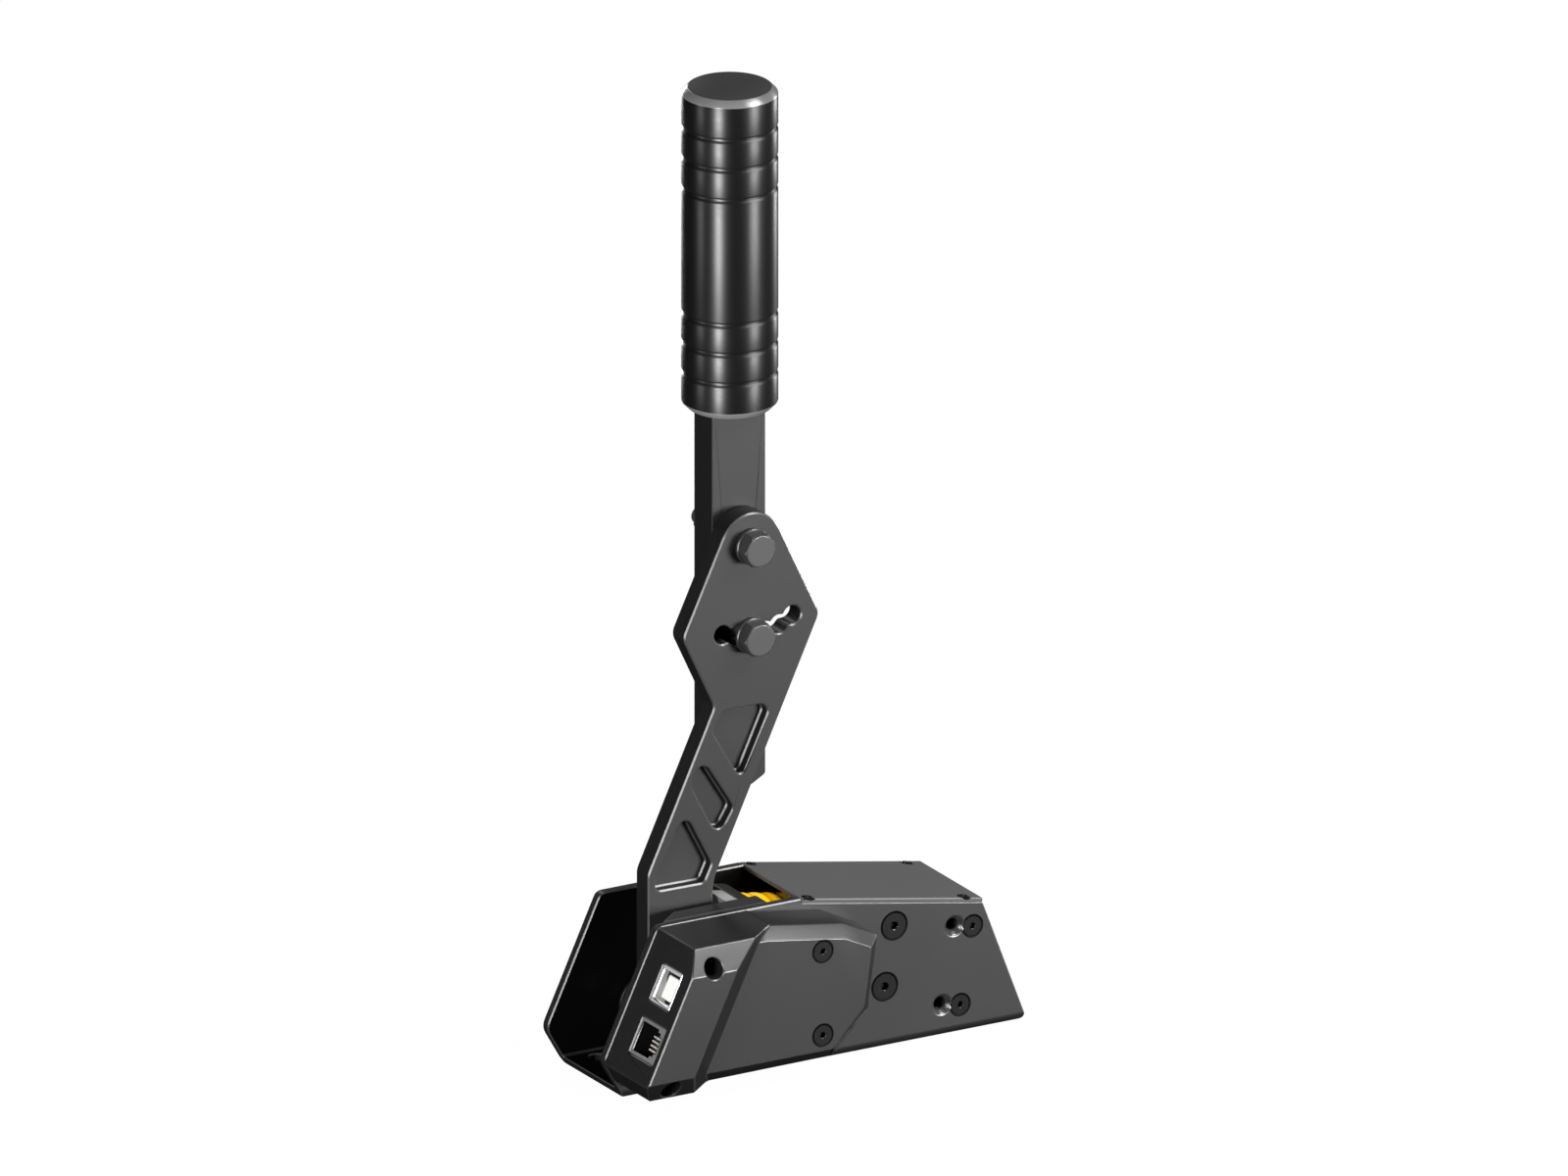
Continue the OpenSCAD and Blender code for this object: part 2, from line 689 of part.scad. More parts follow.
module arm_plate() color([0.17, 0.17, 0.18]) {
    difference() {
        union() {
            along_y(arm_y0, arm_y1) translate([handle_x, 0]) polygon(arm_outline);
            rod_y(pivot_x, pivot_z, arm_y0, arm_y1, pivot_x - handle_x - arm_left);
        }
        for (p = pocket_outlines) {
            along_y(arm_y0 - cut, arm_y0 + pocket_d) translate([handle_x, side_h]) polygon(outline(p));
        }
        along_y(arm_y0 - cut, arm_y1 + cut) translate([handle_x, tilt_z]) tilt_slot();
        rod_y(handle_x, tilt_z, arm_y0 - cut, arm_y1 + cut, thread_r + slack);
        rod_y(pivot_x, pivot_z, arm_y0 - cut, arm_y1 + cut, hub_r + press_fit);
        // The rod's tongue works in a slot, and its pin in a short radial slot
        on_stack() along_y(tongue_y - tongue_t / 2 - 0.2, tongue_y + tongue_t / 2 + 0.2) union() {
            translate([pin_m, 0]) circle(r = 7);
            translate([pin_m, -7]) square([4 * foot_r, 14]);
        }
        on_stack() along_y(arm_y0 - cut, arm_y1 + cut) translate([pivot_m, pivot_n]) {
            rotate([0, 0, -pull_sweep / 2]) {
                for (step = [-1, 1]) translate([0, pin_reach + 0.3 * step]) circle(r = pin_r + slack);
                translate([-pin_r - slack, pin_reach - 0.3]) square([2 * (pin_r + slack), 0.6]);
            }
        }
    }
}

module pivot_hub() color([0.5, 0.5, 0.5]) {
    difference() {
        union() {
            rod_y(pivot_x, pivot_z, arm_y0, arm_y1, hub_r);
            rod_y(pivot_x, pivot_z, arm_y1, arm_y1 + hub_collar_t, hub_collar_r);
        }
        rod_y(pivot_x, pivot_z, -base_w, base_w, shaft_r + press_fit);
        translate([pivot_x, arm_y1 + hub_collar_t / 2, pivot_z]) cylinder(h = base_w, r = m3[1] + slack);
    }
}

module pivot_shaft() color([0.6, 0.6, 0.61]) {
    rod_y(pivot_x, pivot_z, -half_w + 1, half_w - 0.5, shaft_r);
}

module hub_spacer() color([0.45, 0.45, 0.46]) {
    difference() {
        rod_y(pivot_x, pivot_z, arm_y1 + hub_collar_t, inner_w - bush_flange_t - gap, shaft_r + 2.5);
        rod_y(pivot_x, pivot_z, -base_w, base_w, shaft_r + press_fit);
    }
}

module thrust_washer() color([0.5, 0.5, 0.5]) {
    difference() {
        rod_y(pivot_x, pivot_z, cheek_y + gap, arm_y0, hub_r + 1);
        rod_y(pivot_x, pivot_z, -base_w, base_w, shaft_r + press_fit);
    }
}

module hub_set_screw() color([0.1, 0.1, 0.1]) {
    translate([pivot_x, arm_y1 + hub_collar_t / 2, pivot_z + shaft_r + slack]) difference() {
        cylinder(h = hub_collar_r - shaft_r - 0.5, r = m3[1]);
        translate([0, 0, 3]) cylinder(h = hub_collar_r, r = 0.9, $fn = 6);
    }
}

module sensor_magnet() color([0.7, 0.7, 0.72]) {
    rod_y(pivot_x, pivot_z, -half_w - 1.2, -half_w + 1, 3);
}

module handle_bar() color([0.16, 0.16, 0.17]) {
    foot_run = 5;
    foot_rise = 2.8;
    socket = 12;
    difference() {
        along_y(bar_y0, bar_y1) translate([handle_x, 0]) polygon([
            [-bar_w / 2, bar_foot_z + foot_rise],
            [-bar_w / 2, grip_z + socket],
            [bar_w / 2, grip_z + socket],
            [bar_w / 2, bar_foot_z + foot_rise],
            [bar_w / 2 - foot_run, bar_foot_z],
            [-bar_w / 2 + foot_run, bar_foot_z]]);
        for (z = [tilt_z, bolt_z]) rod_y(handle_x, z, bar_y0 - cut, bar_y1 + cut, thread_r + press_fit);
        translate([handle_x, handle_y, grip_z - 10]) cylinder(h = bar_w + socket + cut, r = stud_r + press_fit);
    }
}

stud_r = 4;
groove_r = 0.9;
groove_d = 0.6;
grip_chamfer = 2;
// Places of the grip's grooves down from its top, as shares of its length
groove_places = [0.122, 0.215, 0.3108, 0.7028, 0.795, 0.8889];
module grip() color([0.12, 0.12, 0.13]) {
    top = grip_z + grip_l;
    groove = [for (d = groove_places) top - d * grip_l];
    difference() {
        translate([handle_x, handle_y, 0]) rotate_extrude() polygon(concat(
            [[0, grip_z], [grip_r - grip_chamfer, grip_z], [grip_r, grip_z + grip_chamfer]],
            [for (i = [len(groove) - 1:-1:0]) each [
                [grip_r, groove[i] - groove_r],
                [grip_r - groove_d, groove[i] - groove_r / 3],
                [grip_r - groove_d, groove[i] + groove_r / 3],
                [grip_r, groove[i] + groove_r]]],
            [[grip_r, top - grip_chamfer], [grip_r - grip_chamfer, top], [0, top]]));
        translate([handle_x - bar_w / 2 - slack, bar_y0 - slack, grip_z - cut])
            cube([bar_w + 2 * slack, bar_t + 2 * slack, 12 + cut + slack]);
        translate([handle_x, handle_y, grip_z]) cylinder(h = grip_l * 0.5, r = stud_r + press_fit);
    }
}

module grip_stud() color([0.55, 0.55, 0.56]) {
    translate([handle_x, handle_y, grip_z - 9]) cylinder(h = grip_l * 0.5 + 5, r = stud_r);
}

// The lower bolt is relieved where it passes through the notches
module clamp_bolts() color([0.16, 0.16, 0.17]) {
    rod_y(handle_x, tilt_z, head_y, bolt_end, thread_r);
    rod_y(handle_x, bolt_z, head_y, bar_y0, bolt_r);
    rod_y(handle_x, bolt_z, bar_y0, bolt_end, thread_r);
    for (z = [tilt_z, bolt_z]) translate([handle_x, head_y, z]) rotate([90, 0, 0]) difference() {
        cylinder(h = hex_t, r = hex_af / sqrt(3), $fn = 6);
        rotate_extrude() polygon([
            [hex_af / 2 - 0.1, hex_t + cut],
            [hex_af / 2 - 0.1, hex_t],
            [hex_af / 2 + 1.6, hex_t - hex_rise],
            [hex_af / 2 + 1.6, hex_t + cut]]);
    }
}

// A washer round a handle bolt, from one value of Y to another
module bolt_washer(z, y0) {
    difference() {
        rod_y(handle_x, z, y0, y0 + washer_t, washer_r);
        rod_y(handle_x, z, y0 - cut, y0 + washer_t + cut, thread_r + press_fit);
    }
}

module clamp_washers() color([0.2, 0.2, 0.2]) {
    for (z = [tilt_z, bolt_z]) {
        bolt_washer(z, head_y);
        bolt_washer(z, bar_y1);
    }
}

module clamp_nuts() color([0.2, 0.2, 0.2]) {
    for (z = [tilt_z, bolt_z]) difference() {
        translate([handle_x, bar_y1 + washer_t + nut_t, z]) rotate([90, 0, 0])
            cylinder(h = nut_t, r = hex_af / sqrt(3), $fn = 6);
        rod_y(handle_x, z, bar_y1, bolt_end, thread_r + press_fit);
    }
}

// The housing's side outline behind the connector box
function front_x(z) = front_foot_x + z * tan(front_lean);
pad_lead = 20;
pad_outline = [
    [front_x(housing_foot) + pad_lead, housing_foot],
    [front_x(side_h) + pad_lead, side_h],
    [roof_x - 24, side_h],
    [roof_x + 6.4, side_h - 4.7],
    [roof_x + 19.5, side_h - 11],
    [roof_x + 16, side_h - 35.4],
    [roof_x + 4, housing_foot + 2.7],
    [roof_x + 2, housing_foot]];

// Moves every edge of an outline inwards by one distance
function inset(p, d) = [for (i = [0:len(p) - 1])
    let (b = p[i], u = unit(p[(i + len(p) - 1) % len(p)] - b), w = unit(p[(i + 1) % len(p)] - b))
    b + (u + w) * d / norm(cross([u[0], u[1], 0], [w[0], w[1], 0]))];

// The connector box, drawn in by a wall's thickness where skin isn't nought
module connector_box(skin) {
    far = 4 * side_h;
    slant_x = box_depth * cos(front_lean);
    slant_run = (rim_y - box_y) * box_slant * cos(front_lean);
    inner = skin > 0 ? cut : 0;
    intersection() {
        on_front() translate([0, 0, -side_h]) linear_extrude(far) polygon([
            [skin, -half_w + inner],
            [skin, box_y + skin],
            [slant_x - skin / 2, box_y + skin],
            [slant_x + slant_run - skin, rim_y + skin / 3],
            [slant_x + slant_run - skin, -half_w + inner]]);
        along_x(2 * nose_x, foot_x) polygon([
            [-half_w + inner, box_foot_z + skin],
            [box_y + box_low_y + skin / 3, box_foot_z + skin],
            [box_y + skin, box_low_z],
            [box_y + skin, side_h - box_chamfer_z - skin / 2],
            [box_y + box_chamfer_y + skin / 3, side_h - skin],
            [-half_w + inner, side_h - skin]]);
        along_y(box_y - cut, 0) polygon([
            [-foot_x + skin, 0],
            [nose_x + skin, nose_h],
            [nose_x + skin, far],
            [0, far],
            [0, 0]]);
    }
}

// The bevelled block that ends in the face plate
module face_block() {
    thin = 0.1;
    along_y(rim_y, -half_w) polygon(pad_outline);
    hull() {
        along_y(rim_y, rim_y + thin) polygon(pad_outline);
        along_y(pad_y, pad_y + thin) polygon(inset(pad_outline, pad_bevel));
    }
}

// The two screws that hold the connector box, deep in round wells
well_r = 3.4;
well_floor = -half_w - 5;
box_screw_spots = [[nose_x + 25.5, 50.9], [nose_x + 10.5, 11.2]];
cap_head_r = 2.75;
cap_head_h = 3;
post_r = 4.6;

module housing() color([0.15, 0.15, 0.16]) {
    mid_usb = usb_z / cos(front_lean);
    mid_jack = jack_z / cos(front_lean);
    difference() {
        union() {
            connector_box(0);
            face_block();
        }
        difference() {
            union() {
                connector_box(shell_t);
                along_y(pad_y + shell_t, rim_y + cut) polygon(inset(pad_outline, pad_bevel + shell_t / 2));
                along_y(rim_y, -half_w + cut) polygon(inset(pad_outline, shell_t));
            }
            for (z = face_screw_zs) rod_y(face_screw_x, z, pad_y, -half_w, post_r);
            for (spot = box_screw_spots) rod_y(spot[0], spot[1], box_y, -half_w, post_r + 0.8);
            on_front() translate([21, board_y, (mid_usb + mid_jack) / 2]) rotate([90, 0, 0])
                cylinder(h = box_out, r = 2.3);
        }
        for (spot = box_screw_spots) {
            rod_y(spot[0], spot[1], box_y - cut, well_floor, well_r);
            rod_y(spot[0], spot[1], box_y, 0, m3[1] + slack);
        }
        at_face_screws() flat_screw_hole(m3, pad_out + cut);
        on_front() block([-cut, usb_y - usb_w / 2, mid_usb - usb_h / 2],
            [2 * shell_t, usb_y + usb_w / 2, mid_usb + usb_h / 2]);
        on_front() block([-cut, jack_y - jack_w / 2, mid_jack - jack_h / 2],
            [2 * shell_t, jack_y + jack_w / 2, mid_jack + jack_h / 2]);
    }
}

module face_screws() color([0.1, 0.1, 0.1]) at_face_screws() flat_screw(m3, pad_out + wall_t);

module housing_screws() color([0.1, 0.1, 0.1]) for (spot = box_screw_spots) {
    rod_y(spot[0], spot[1], well_floor - 0.1, -half_w + wall_t - 0.5, m3[1]);
    difference() {
        rod_y(spot[0], spot[1], well_floor - cap_head_h, well_floor, cap_head_r);
        translate([spot[0], well_floor - 1.4, spot[1]]) rotate([90, 0, 0]) cylinder(h = 4, r = 1.4, $fn = 6);
    }
}

module circuit_board() color([0.05, 0.22, 0.12]) {
    board_low = jack_z / cos(front_lean) - jack_h / 2 + 1;
    board_high = usb_z / cos(front_lean) + usb_h / 2;
    on_front() block([4, board_y, board_low], [24, board_y + board_t, board_high]);
}

module usb_shell() color([0.8, 0.8, 0.8]) {
    mid = usb_z / cos(front_lean);
    on_front() difference() {
        block([gap, usb_y - usb_w / 2 + 2 * slack, mid - usb_h / 2 + 2 * slack],
            [usb_d, usb_y + usb_w / 2 - 2 * slack, mid + usb_h / 2 - 2 * slack]);
        block([-cut, usb_y - usb_w / 2 + usb_skin, mid - usb_h / 2 + usb_skin],
            [usb_d - 2, usb_y + usb_w / 2 - usb_skin, mid + usb_h / 2 - usb_skin]);
    }
}

module usb_insert() color([0.9, 0.9, 0.9]) {
    mid = usb_z / cos(front_lean);
    on_front() block([1.5, usb_y - usb_tongue[0], mid - usb_tongue[1]],
        [usb_d - 2, usb_y + usb_tongue[0], mid + usb_tongue[1]]);
}

module jack_body() color([0.3, 0.3, 0.3]) {
    mid = jack_z / cos(front_lean);
    on_front() difference() {
        block([gap, jack_y - jack_w / 2 + 2 * slack, mid - jack_h / 2 + 2 * slack],
            [jack_d, jack_y + jack_w / 2 - 2 * slack, mid + jack_h / 2 - 2 * slack]);
        for (step = jack_steps) {
            block([-cut, jack_y + step[0], mid - step[2]], [step[3], jack_y + step[1], mid + step[2]]);
        }
    }
}

module jack_contacts() color([0.8, 0.65, 0.3]) {
    mid = jack_z / cos(front_lean);
    wall_y = jack_y + jack_steps[2][0];
    on_front() for (i = [-1.5:1:1.5]) {
        translate([1.5, wall_y, mid + i * contact_pitch - contact_t / 2])
            rotate([0, 0, contact_lean]) cube([contact_l, contact_t, contact_t]);
    }
}

chassis();
roof_plate();
roof_screws();
pivot_bracket();
stop_plate();
stop_screws();
stop_bumper();
guide_block();
rear_block();
block_screws();
rear_block_screws();
bracket_screws();
web_bush();
guide_bush();
near_pivot_bush();
far_pivot_bush();
sensor_board();
board_spacers();
board_screws();
hall_sensor();
elastomer_rings();
pull_rod();
rod_pin();
pressure_washer();
preload_nut();
arm_plate();
pivot_hub();
pivot_shaft();
hub_spacer();
thrust_washer();
hub_set_screw();
sensor_magnet();
handle_bar();
grip();
grip_stud();
clamp_bolts();
clamp_washers();
clamp_nuts();
housing();
face_screws();
housing_screws();
circuit_board();
usb_shell();
usb_insert();
jack_body();
jack_contacts();
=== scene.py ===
"""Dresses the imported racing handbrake: soft edges, turned parts, finishes, camera and light."""
import json
import logging
import math
from dataclasses import dataclass, fields
from enum import Enum
from typing import Callable, ClassVar

import bmesh
import bpy
from mathutils import Matrix, Vector
from mathutils.kdtree import KDTree

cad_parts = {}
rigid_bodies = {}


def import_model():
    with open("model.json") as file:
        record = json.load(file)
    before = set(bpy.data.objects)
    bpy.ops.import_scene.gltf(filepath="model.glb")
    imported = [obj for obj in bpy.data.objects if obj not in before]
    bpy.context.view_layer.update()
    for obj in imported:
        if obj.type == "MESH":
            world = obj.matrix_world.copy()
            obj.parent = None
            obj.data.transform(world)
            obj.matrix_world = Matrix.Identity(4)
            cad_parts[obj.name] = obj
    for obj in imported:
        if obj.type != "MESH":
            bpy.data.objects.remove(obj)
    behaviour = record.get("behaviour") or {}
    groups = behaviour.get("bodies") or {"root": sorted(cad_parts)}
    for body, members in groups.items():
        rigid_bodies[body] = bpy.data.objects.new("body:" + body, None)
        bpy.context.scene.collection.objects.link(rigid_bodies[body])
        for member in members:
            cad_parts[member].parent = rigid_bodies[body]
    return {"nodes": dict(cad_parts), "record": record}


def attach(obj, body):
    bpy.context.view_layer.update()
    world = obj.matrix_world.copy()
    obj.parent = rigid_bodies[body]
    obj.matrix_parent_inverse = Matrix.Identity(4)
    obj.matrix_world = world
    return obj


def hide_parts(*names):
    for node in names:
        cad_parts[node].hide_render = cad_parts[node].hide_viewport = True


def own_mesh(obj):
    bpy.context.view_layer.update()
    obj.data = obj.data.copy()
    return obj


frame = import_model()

LOG = logging.getLogger("handbrake")
MM = 0.001
SLOT_OF = {row["node"]: row["material_slot"] for row in frame["record"]["subparts"]}
BODY_OF = {node: body
           for body, nodes in frame["record"]["behaviour"]["bodies"].items()
           for node in nodes}
SQUARE = 0.97  # a face whose normal has more than this along an axis stands square to it
ASIDE = 0.2    # one whose normal has less than this lies along the axis


class Texture(Enum):
    """How the surface of a finish is broken up."""

    GRAIN = "even grain, as on powder coat and moulded plastic"
    TURNED = "fine rings about Z, as left by a lathe"
    BRUSHED = "fine lines along X"


@dataclass(frozen=True)
class Finish:
    """One finish of the handbrake, and the shader that gives it.

    Args:
        slot: the record's material slot.
        colour: sRGB values from 0 to 255.
        roughness: mean roughness.
        metallic: 1 for bare metal.
        coat: weight of a clear coat.
        spread: how far the colour wanders, as a share of itself.
        grain_mm: size of the grain.
        bump: strength of the bump.
        level: specular level of the flat faces.
        rim: sRGB grey that the edges' colour is lifted to, a painted highlight along every edge.
        rim_level: specular level of the polished edges.
        texture: the kind of break-up.

    All finishes share the size of the colour's clouds, the factor on the roughness of the polished
    edges, which also carry the painted highlight, and how far the grain swings the roughness, as a
    share of itself.
    """

    slot: str
    colour: tuple[int, int, int]
    roughness: float = 0.45
    metallic: float = 0.0
    coat: float = 0.0
    spread: float = 0.08
    grain_mm: float = 0.5
    bump: float = 0.08
    level: float = 0.3
    rim: int = 0
    rim_level: float = 0.6
    texture: Texture = Texture.GRAIN
    cloud_mm: ClassVar[float] = 28.0
    worn_gloss: ClassVar[float] = 0.75
    rough_swing: ClassVar[float] = 0.16

    @staticmethod
    def linear(colour: tuple[int, int, int],
               gain: float = 1.0) -> tuple[float, float, float, float]:
        """Gives a colour in linear light.

        Args:
            colour: sRGB values from 0 to 255.
            gain: factor on the brightness.

        Returns:
            Red, green, blue and alpha.
        """
        parts = [c / 255 for c in colour]
        light = [c / 12.92 if c <= 0.04045 else ((c + 0.055) / 1.055) ** 2.4 for c in parts]
        return tuple(min(1.0, c * gain) for c in light) + (1.0,)

    def stretch(self) -> tuple[float, float, float]:
        """Gives the scale of the grain along X, Y and Z."""
        scales = {Texture.TURNED: (0.04, 0.04, 1.0), Texture.BRUSHED: (0.03, 1.0, 1.0)}
        return scales.get(self.texture, (1.0, 1.0, 1.0))

    def material(self, edge_polish_and_highlight: bool = False) -> bpy.types.Material:
        """Builds the material of the faces, or of the edges with their painted highlight, once,
        then hands it out again.

        Args:
            edge_polish_and_highlight: True for the edges, where hands and tools have polished the
                surface and a lighter grey is painted on as a highlight.

        Returns:
            The material.
        """
        name = "finish_" + self.slot + ("_edge" if edge_polish_and_highlight else "")
        made = bpy.data.materials.get(name)
        if made:
            return made
        made = bpy.data.materials.new(name)
        made.use_nodes = True
        tree = made.node_tree
        # Painted highlight: on the edges the colour is lifted to a lighter grey, so that they read
        # as catching the light.
        colour = tuple(max(c, self.rim) for c in self.colour) if edge_polish_and_highlight else self.colour
        middle = self.roughness * (self.worn_gloss if edge_polish_and_highlight else 1.0)
        shader = tree.nodes["Principled BSDF"]
        shader.inputs["Metallic"].default_value = self.metallic
        shader.inputs["Coat Weight"].default_value = self.coat
        shader.inputs["Coat Roughness"].default_value = 0.25
        level = self.rim_level if edge_polish_and_highlight else self.level
        shader.inputs["Specular IOR Level"].default_value = level
        place = tree.nodes.new("ShaderNodeTexCoord")
        mapping = tree.nodes.new("ShaderNodeMapping")
        mapping.inputs["Scale"].default_value = self.stretch()
        tree.links.new(place.outputs["Object"], mapping.inputs["Vector"])
        grain = self.noise(tree, mapping, 1 / (self.grain_mm * MM), 6.0)
        clouds = self.noise(tree, place, 1 / (self.cloud_mm * MM), 3.0)
        rough = tree.nodes.new("ShaderNodeMapRange")
        rough.inputs["To Min"].default_value = max(0.03, middle * (1 - self.rough_swing))
        rough.inputs["To Max"].default_value = min(1.0, middle * (1 + self.rough_swing))
        tree.links.new(grain.outputs["Fac"], rough.inputs["Value"])
        tree.links.new(rough.outputs["Result"], shader.inputs["Roughness"])
        tint = self.mix(tree, self.linear(colour, 1 - self.spread),
                        self.linear(colour, 1 + self.spread))
        tree.links.new(clouds.outputs["Fac"], tint.inputs["Factor"])
        tree.links.new(tint.outputs[2], shader.inputs["Base Color"])
        bump = tree.nodes.new("ShaderNodeBump")
        bump.inputs["Strength"].default_value = self.bump
        bump.inputs["Distance"].default_value = self.grain_mm * MM * 0.5
        tree.links.new(grain.outputs["Fac"], bump.inputs["Height"])
        tree.links.new(bump.outputs["Normal"], shader.inputs["Normal"])
        if self.texture is Texture.TURNED:
            shader.inputs["Anisotropic"].default_value = 0.75
            shader.inputs["Anisotropic Rotation"].default_value = 0.25
            tangent = tree.nodes.new("ShaderNodeTangent")
            tangent.direction_type = "RADIAL"
            tangent.axis = "Z"
            tree.links.new(tangent.outputs["Tangent"], shader.inputs["Tangent"])
        return made

    @staticmethod
    def noise(tree: bpy.types.NodeTree, source: bpy.types.Node, scale: float,
              detail: float) -> bpy.types.Node:
        """Adds a noise texture.

        Args:
            tree: the material's nodes.
            source: the node that gives the place, a coordinate or a mapping node.
            scale: repeats per metre.
            detail: number of octaves.

        Returns:
            The noise node.
        """
        node = tree.nodes.new("ShaderNodeTexNoise")
        node.inputs["Scale"].default_value = scale
        node.inputs["Detail"].default_value = detail
        socket = source.outputs.get("Object") or source.outputs["Vector"]
        tree.links.new(socket, node.inputs["Vector"])
        return node

    @staticmethod
    def mix(tree: bpy.types.NodeTree, low: tuple, high: tuple) -> bpy.types.Node:
        """Adds a colour mix.

        Args:
            tree: the material's nodes.
            low: colour at factor 0.
            high: colour at factor 1.

        Returns:
            The mix node.
        """
        node = tree.nodes.new("ShaderNodeMix")
        node.data_type = "RGBA"
        node.inputs[6].default_value = low
        node.inputs[7].default_value = high
        return node


BLACK_STEEL = {"grain_mm": 0.2, "bump": 0.05, "level": 0.3, "rim_level": 0.5}
# The lighter edge greys set in these finishes are painted highlights: they lift the bevels' colour
# so that the edges read as catching light.
COAT = {"spread": 0.06, "grain_mm": 0.35, "bump": 0.10, "level": 0.6, "rim": 76,
        "rim_level": 0.8}
FINISHES = {finish.slot: finish for finish in (
    Finish("chassis_coat", (36, 36, 37), 0.43, **COAT),
    # Painted light: the roof plate's lighter grey stands in for the stronger light that falls on
    # its top.
    Finish("roof_coat", (88, 88, 89), 0.5, **(COAT | {"level": 0.2, "rim": 92})),
    Finish("black_screws", (26, 26, 27), 0.36, 0.2, **BLACK_STEEL),
    Finish("light_steel", (150, 150, 147), 0.5, 0.3, grain_mm=0.4, bump=0.05, rim=150,
           texture=Texture.BRUSHED),
    Finish("black_rubber", (22, 22, 22), 0.7, grain_mm=0.3, bump=0.12, level=0.1, rim=24,
           rim_level=0.1),
    Finish("block_metal", (70, 70, 72), 0.4, 0.6, grain_mm=0.3, bump=0.05, rim=80,
           texture=Texture.BRUSHED),
    Finish("bush_polymer", (26, 26, 26), 0.5, grain_mm=0.2, bump=0.05, level=0.1, rim=28,
           rim_level=0.2),
    Finish("board_green", (20, 82, 48), 0.35, coat=0.4, grain_mm=0.8, bump=0.03, rim=30),
    Finish("bright_steel", (176, 176, 178), 0.3, 1.0, grain_mm=0.25, bump=0.04, rim=190,
           texture=Texture.BRUSHED),
    Finish("sensor_body", (30, 30, 30), 0.4, grain_mm=0.2, bump=0.06),
    Finish("ring_yellow", (250, 190, 14), 0.4, spread=0.05, grain_mm=0.8, bump=0.04),
    Finish("washer_steel", (50, 50, 51), 0.4, 0.5, grain_mm=0.3, bump=0.04, rim=60),
    Finish("arm_coat", (28, 28, 29), 0.42, **(COAT | {"level": 0.5})),
    Finish("bar_coat", (28, 28, 29), 0.42, **(COAT | {"level": 0.46})),
    Finish("grip_skin", (12, 12, 12), 0.4, spread=0.04, grain_mm=0.3, bump=0.02, level=0.5, rim=100,
           rim_level=1.0, texture=Texture.TURNED),
    Finish("grip_end", (62, 62, 62), 0.5, spread=0.04, grain_mm=0.3, bump=0.05, level=0.06),
    Finish("bolt_black", (74, 74, 74), 0.36, 0.2, **BLACK_STEEL),
    Finish("housing_plastic", (30, 30, 31), 0.42, spread=0.05, grain_mm=0.28, bump=0.12,
           level=0.6, rim=60, rim_level=0.7),
    Finish("socket_metal", (222, 222, 220), 0.34, 0.5, grain_mm=0.4, bump=0.03, rim=236,
           texture=Texture.BRUSHED),
    Finish("socket_insert", (236, 236, 232), 0.32, grain_mm=0.3, bump=0.03, rim=236),
    Finish("jack_plastic", (132, 132, 132), 0.36, grain_mm=0.3, bump=0.05, rim=120),
    Finish("contact_gold", (240, 234, 220), 0.3, 0.5, grain_mm=0.2, bump=0.02, rim=240,
           texture=Texture.BRUSHED),
    # Painted shade: near black for the jack's inside, deep under its mouth.
    Finish("jack_inside", (20, 20, 20), 0.4, grain_mm=0.3, bump=0.05, level=0.3),
    # Painted shade: near black for the channel's inner faces, where the shade falls deep.
    Finish("chassis_inside", (8, 8, 8), 0.5, grain_mm=0.35, bump=0.1, level=0.1),
    # Painted shade: the black ring of shadow in the countersinks round the screws' heads.
    Finish("screw_gap", (5, 5, 5), 0.6, grain_mm=0.2, bump=0.02, level=0.1),
    Finish("bare_cone", (92, 92, 92), 0.26, 0.6, grain_mm=0.2, bump=0.03, level=0.6),
)}


class Bench:
    """Edit-mode handling that every piece needs."""

    @staticmethod
    def clear() -> None:
        """Leaves edit mode and deselects every object."""
        if bpy.context.object and bpy.context.object.mode != "OBJECT":
            bpy.ops.object.mode_set(mode="OBJECT")
        for other in bpy.context.view_layer.objects:
            other.select_set(False)

    @staticmethod
    def take(piece: bpy.types.Object) -> None:
        """Makes one piece the only one that operators act on.

        Args:
            piece: the mesh object.
        """
        Bench.clear()
        piece.hide_set(False)
        piece.select_set(True)
        bpy.context.view_layer.objects.active = piece

    @staticmethod
    def edit(piece: bpy.types.Object) -> None:
        """Opens a piece in edit mode with all of it selected.

        Args:
            piece: the mesh object.
        """
        Bench.take(piece)
        bpy.ops.object.mode_set(mode="EDIT")
        bpy.ops.mesh.select_all(action="SELECT")

    @staticmethod
    def close() -> None:
        """Goes back to object mode."""
        bpy.ops.object.mode_set(mode="OBJECT")

    @staticmethod
    def settle(piece: bpy.types.Object) -> None:
        """Puts a piece's place, turn and size into its mesh."""
        Bench.take(piece)
        bpy.ops.object.transform_apply(location=True, rotation=True, scale=True)

    @staticmethod
    def apply(piece: bpy.types.Object, kind: str, **settings: object) -> None:
        """Adds one modifier and applies it.

        Args:
            piece: the mesh object.
            kind: the modifier's type.
            settings: its values.
        """
        Bench.take(piece)
        modifier = piece.modifiers.new(kind.lower(), kind)
        for name, value in settings.items():
            setattr(modifier, name, value)
        bpy.ops.object.modifier_apply(modifier=modifier.name)

    @staticmethod
    def join(pieces: list[bpy.types.Object], name: str) -> bpy.types.Object:
        """Makes several pieces one.

        Args:
            pieces: the pieces; the first takes in the rest.
            name: the name of the whole.

        Returns:
            The joined piece.
        """
        Bench.clear()
        for piece in pieces:
            piece.select_set(True)
        bpy.context.view_layer.objects.active = pieces[0]
        bpy.ops.object.join()
        pieces[0].name = name
        return pieces[0]

    @staticmethod
    def smooth(piece: bpy.types.Object, degrees: float = 32) -> None:
        """Shades a piece smooth except over sharp edges."""
        Bench.take(piece)
        bpy.ops.object.shade_smooth_by_angle(angle=math.radians(degrees))


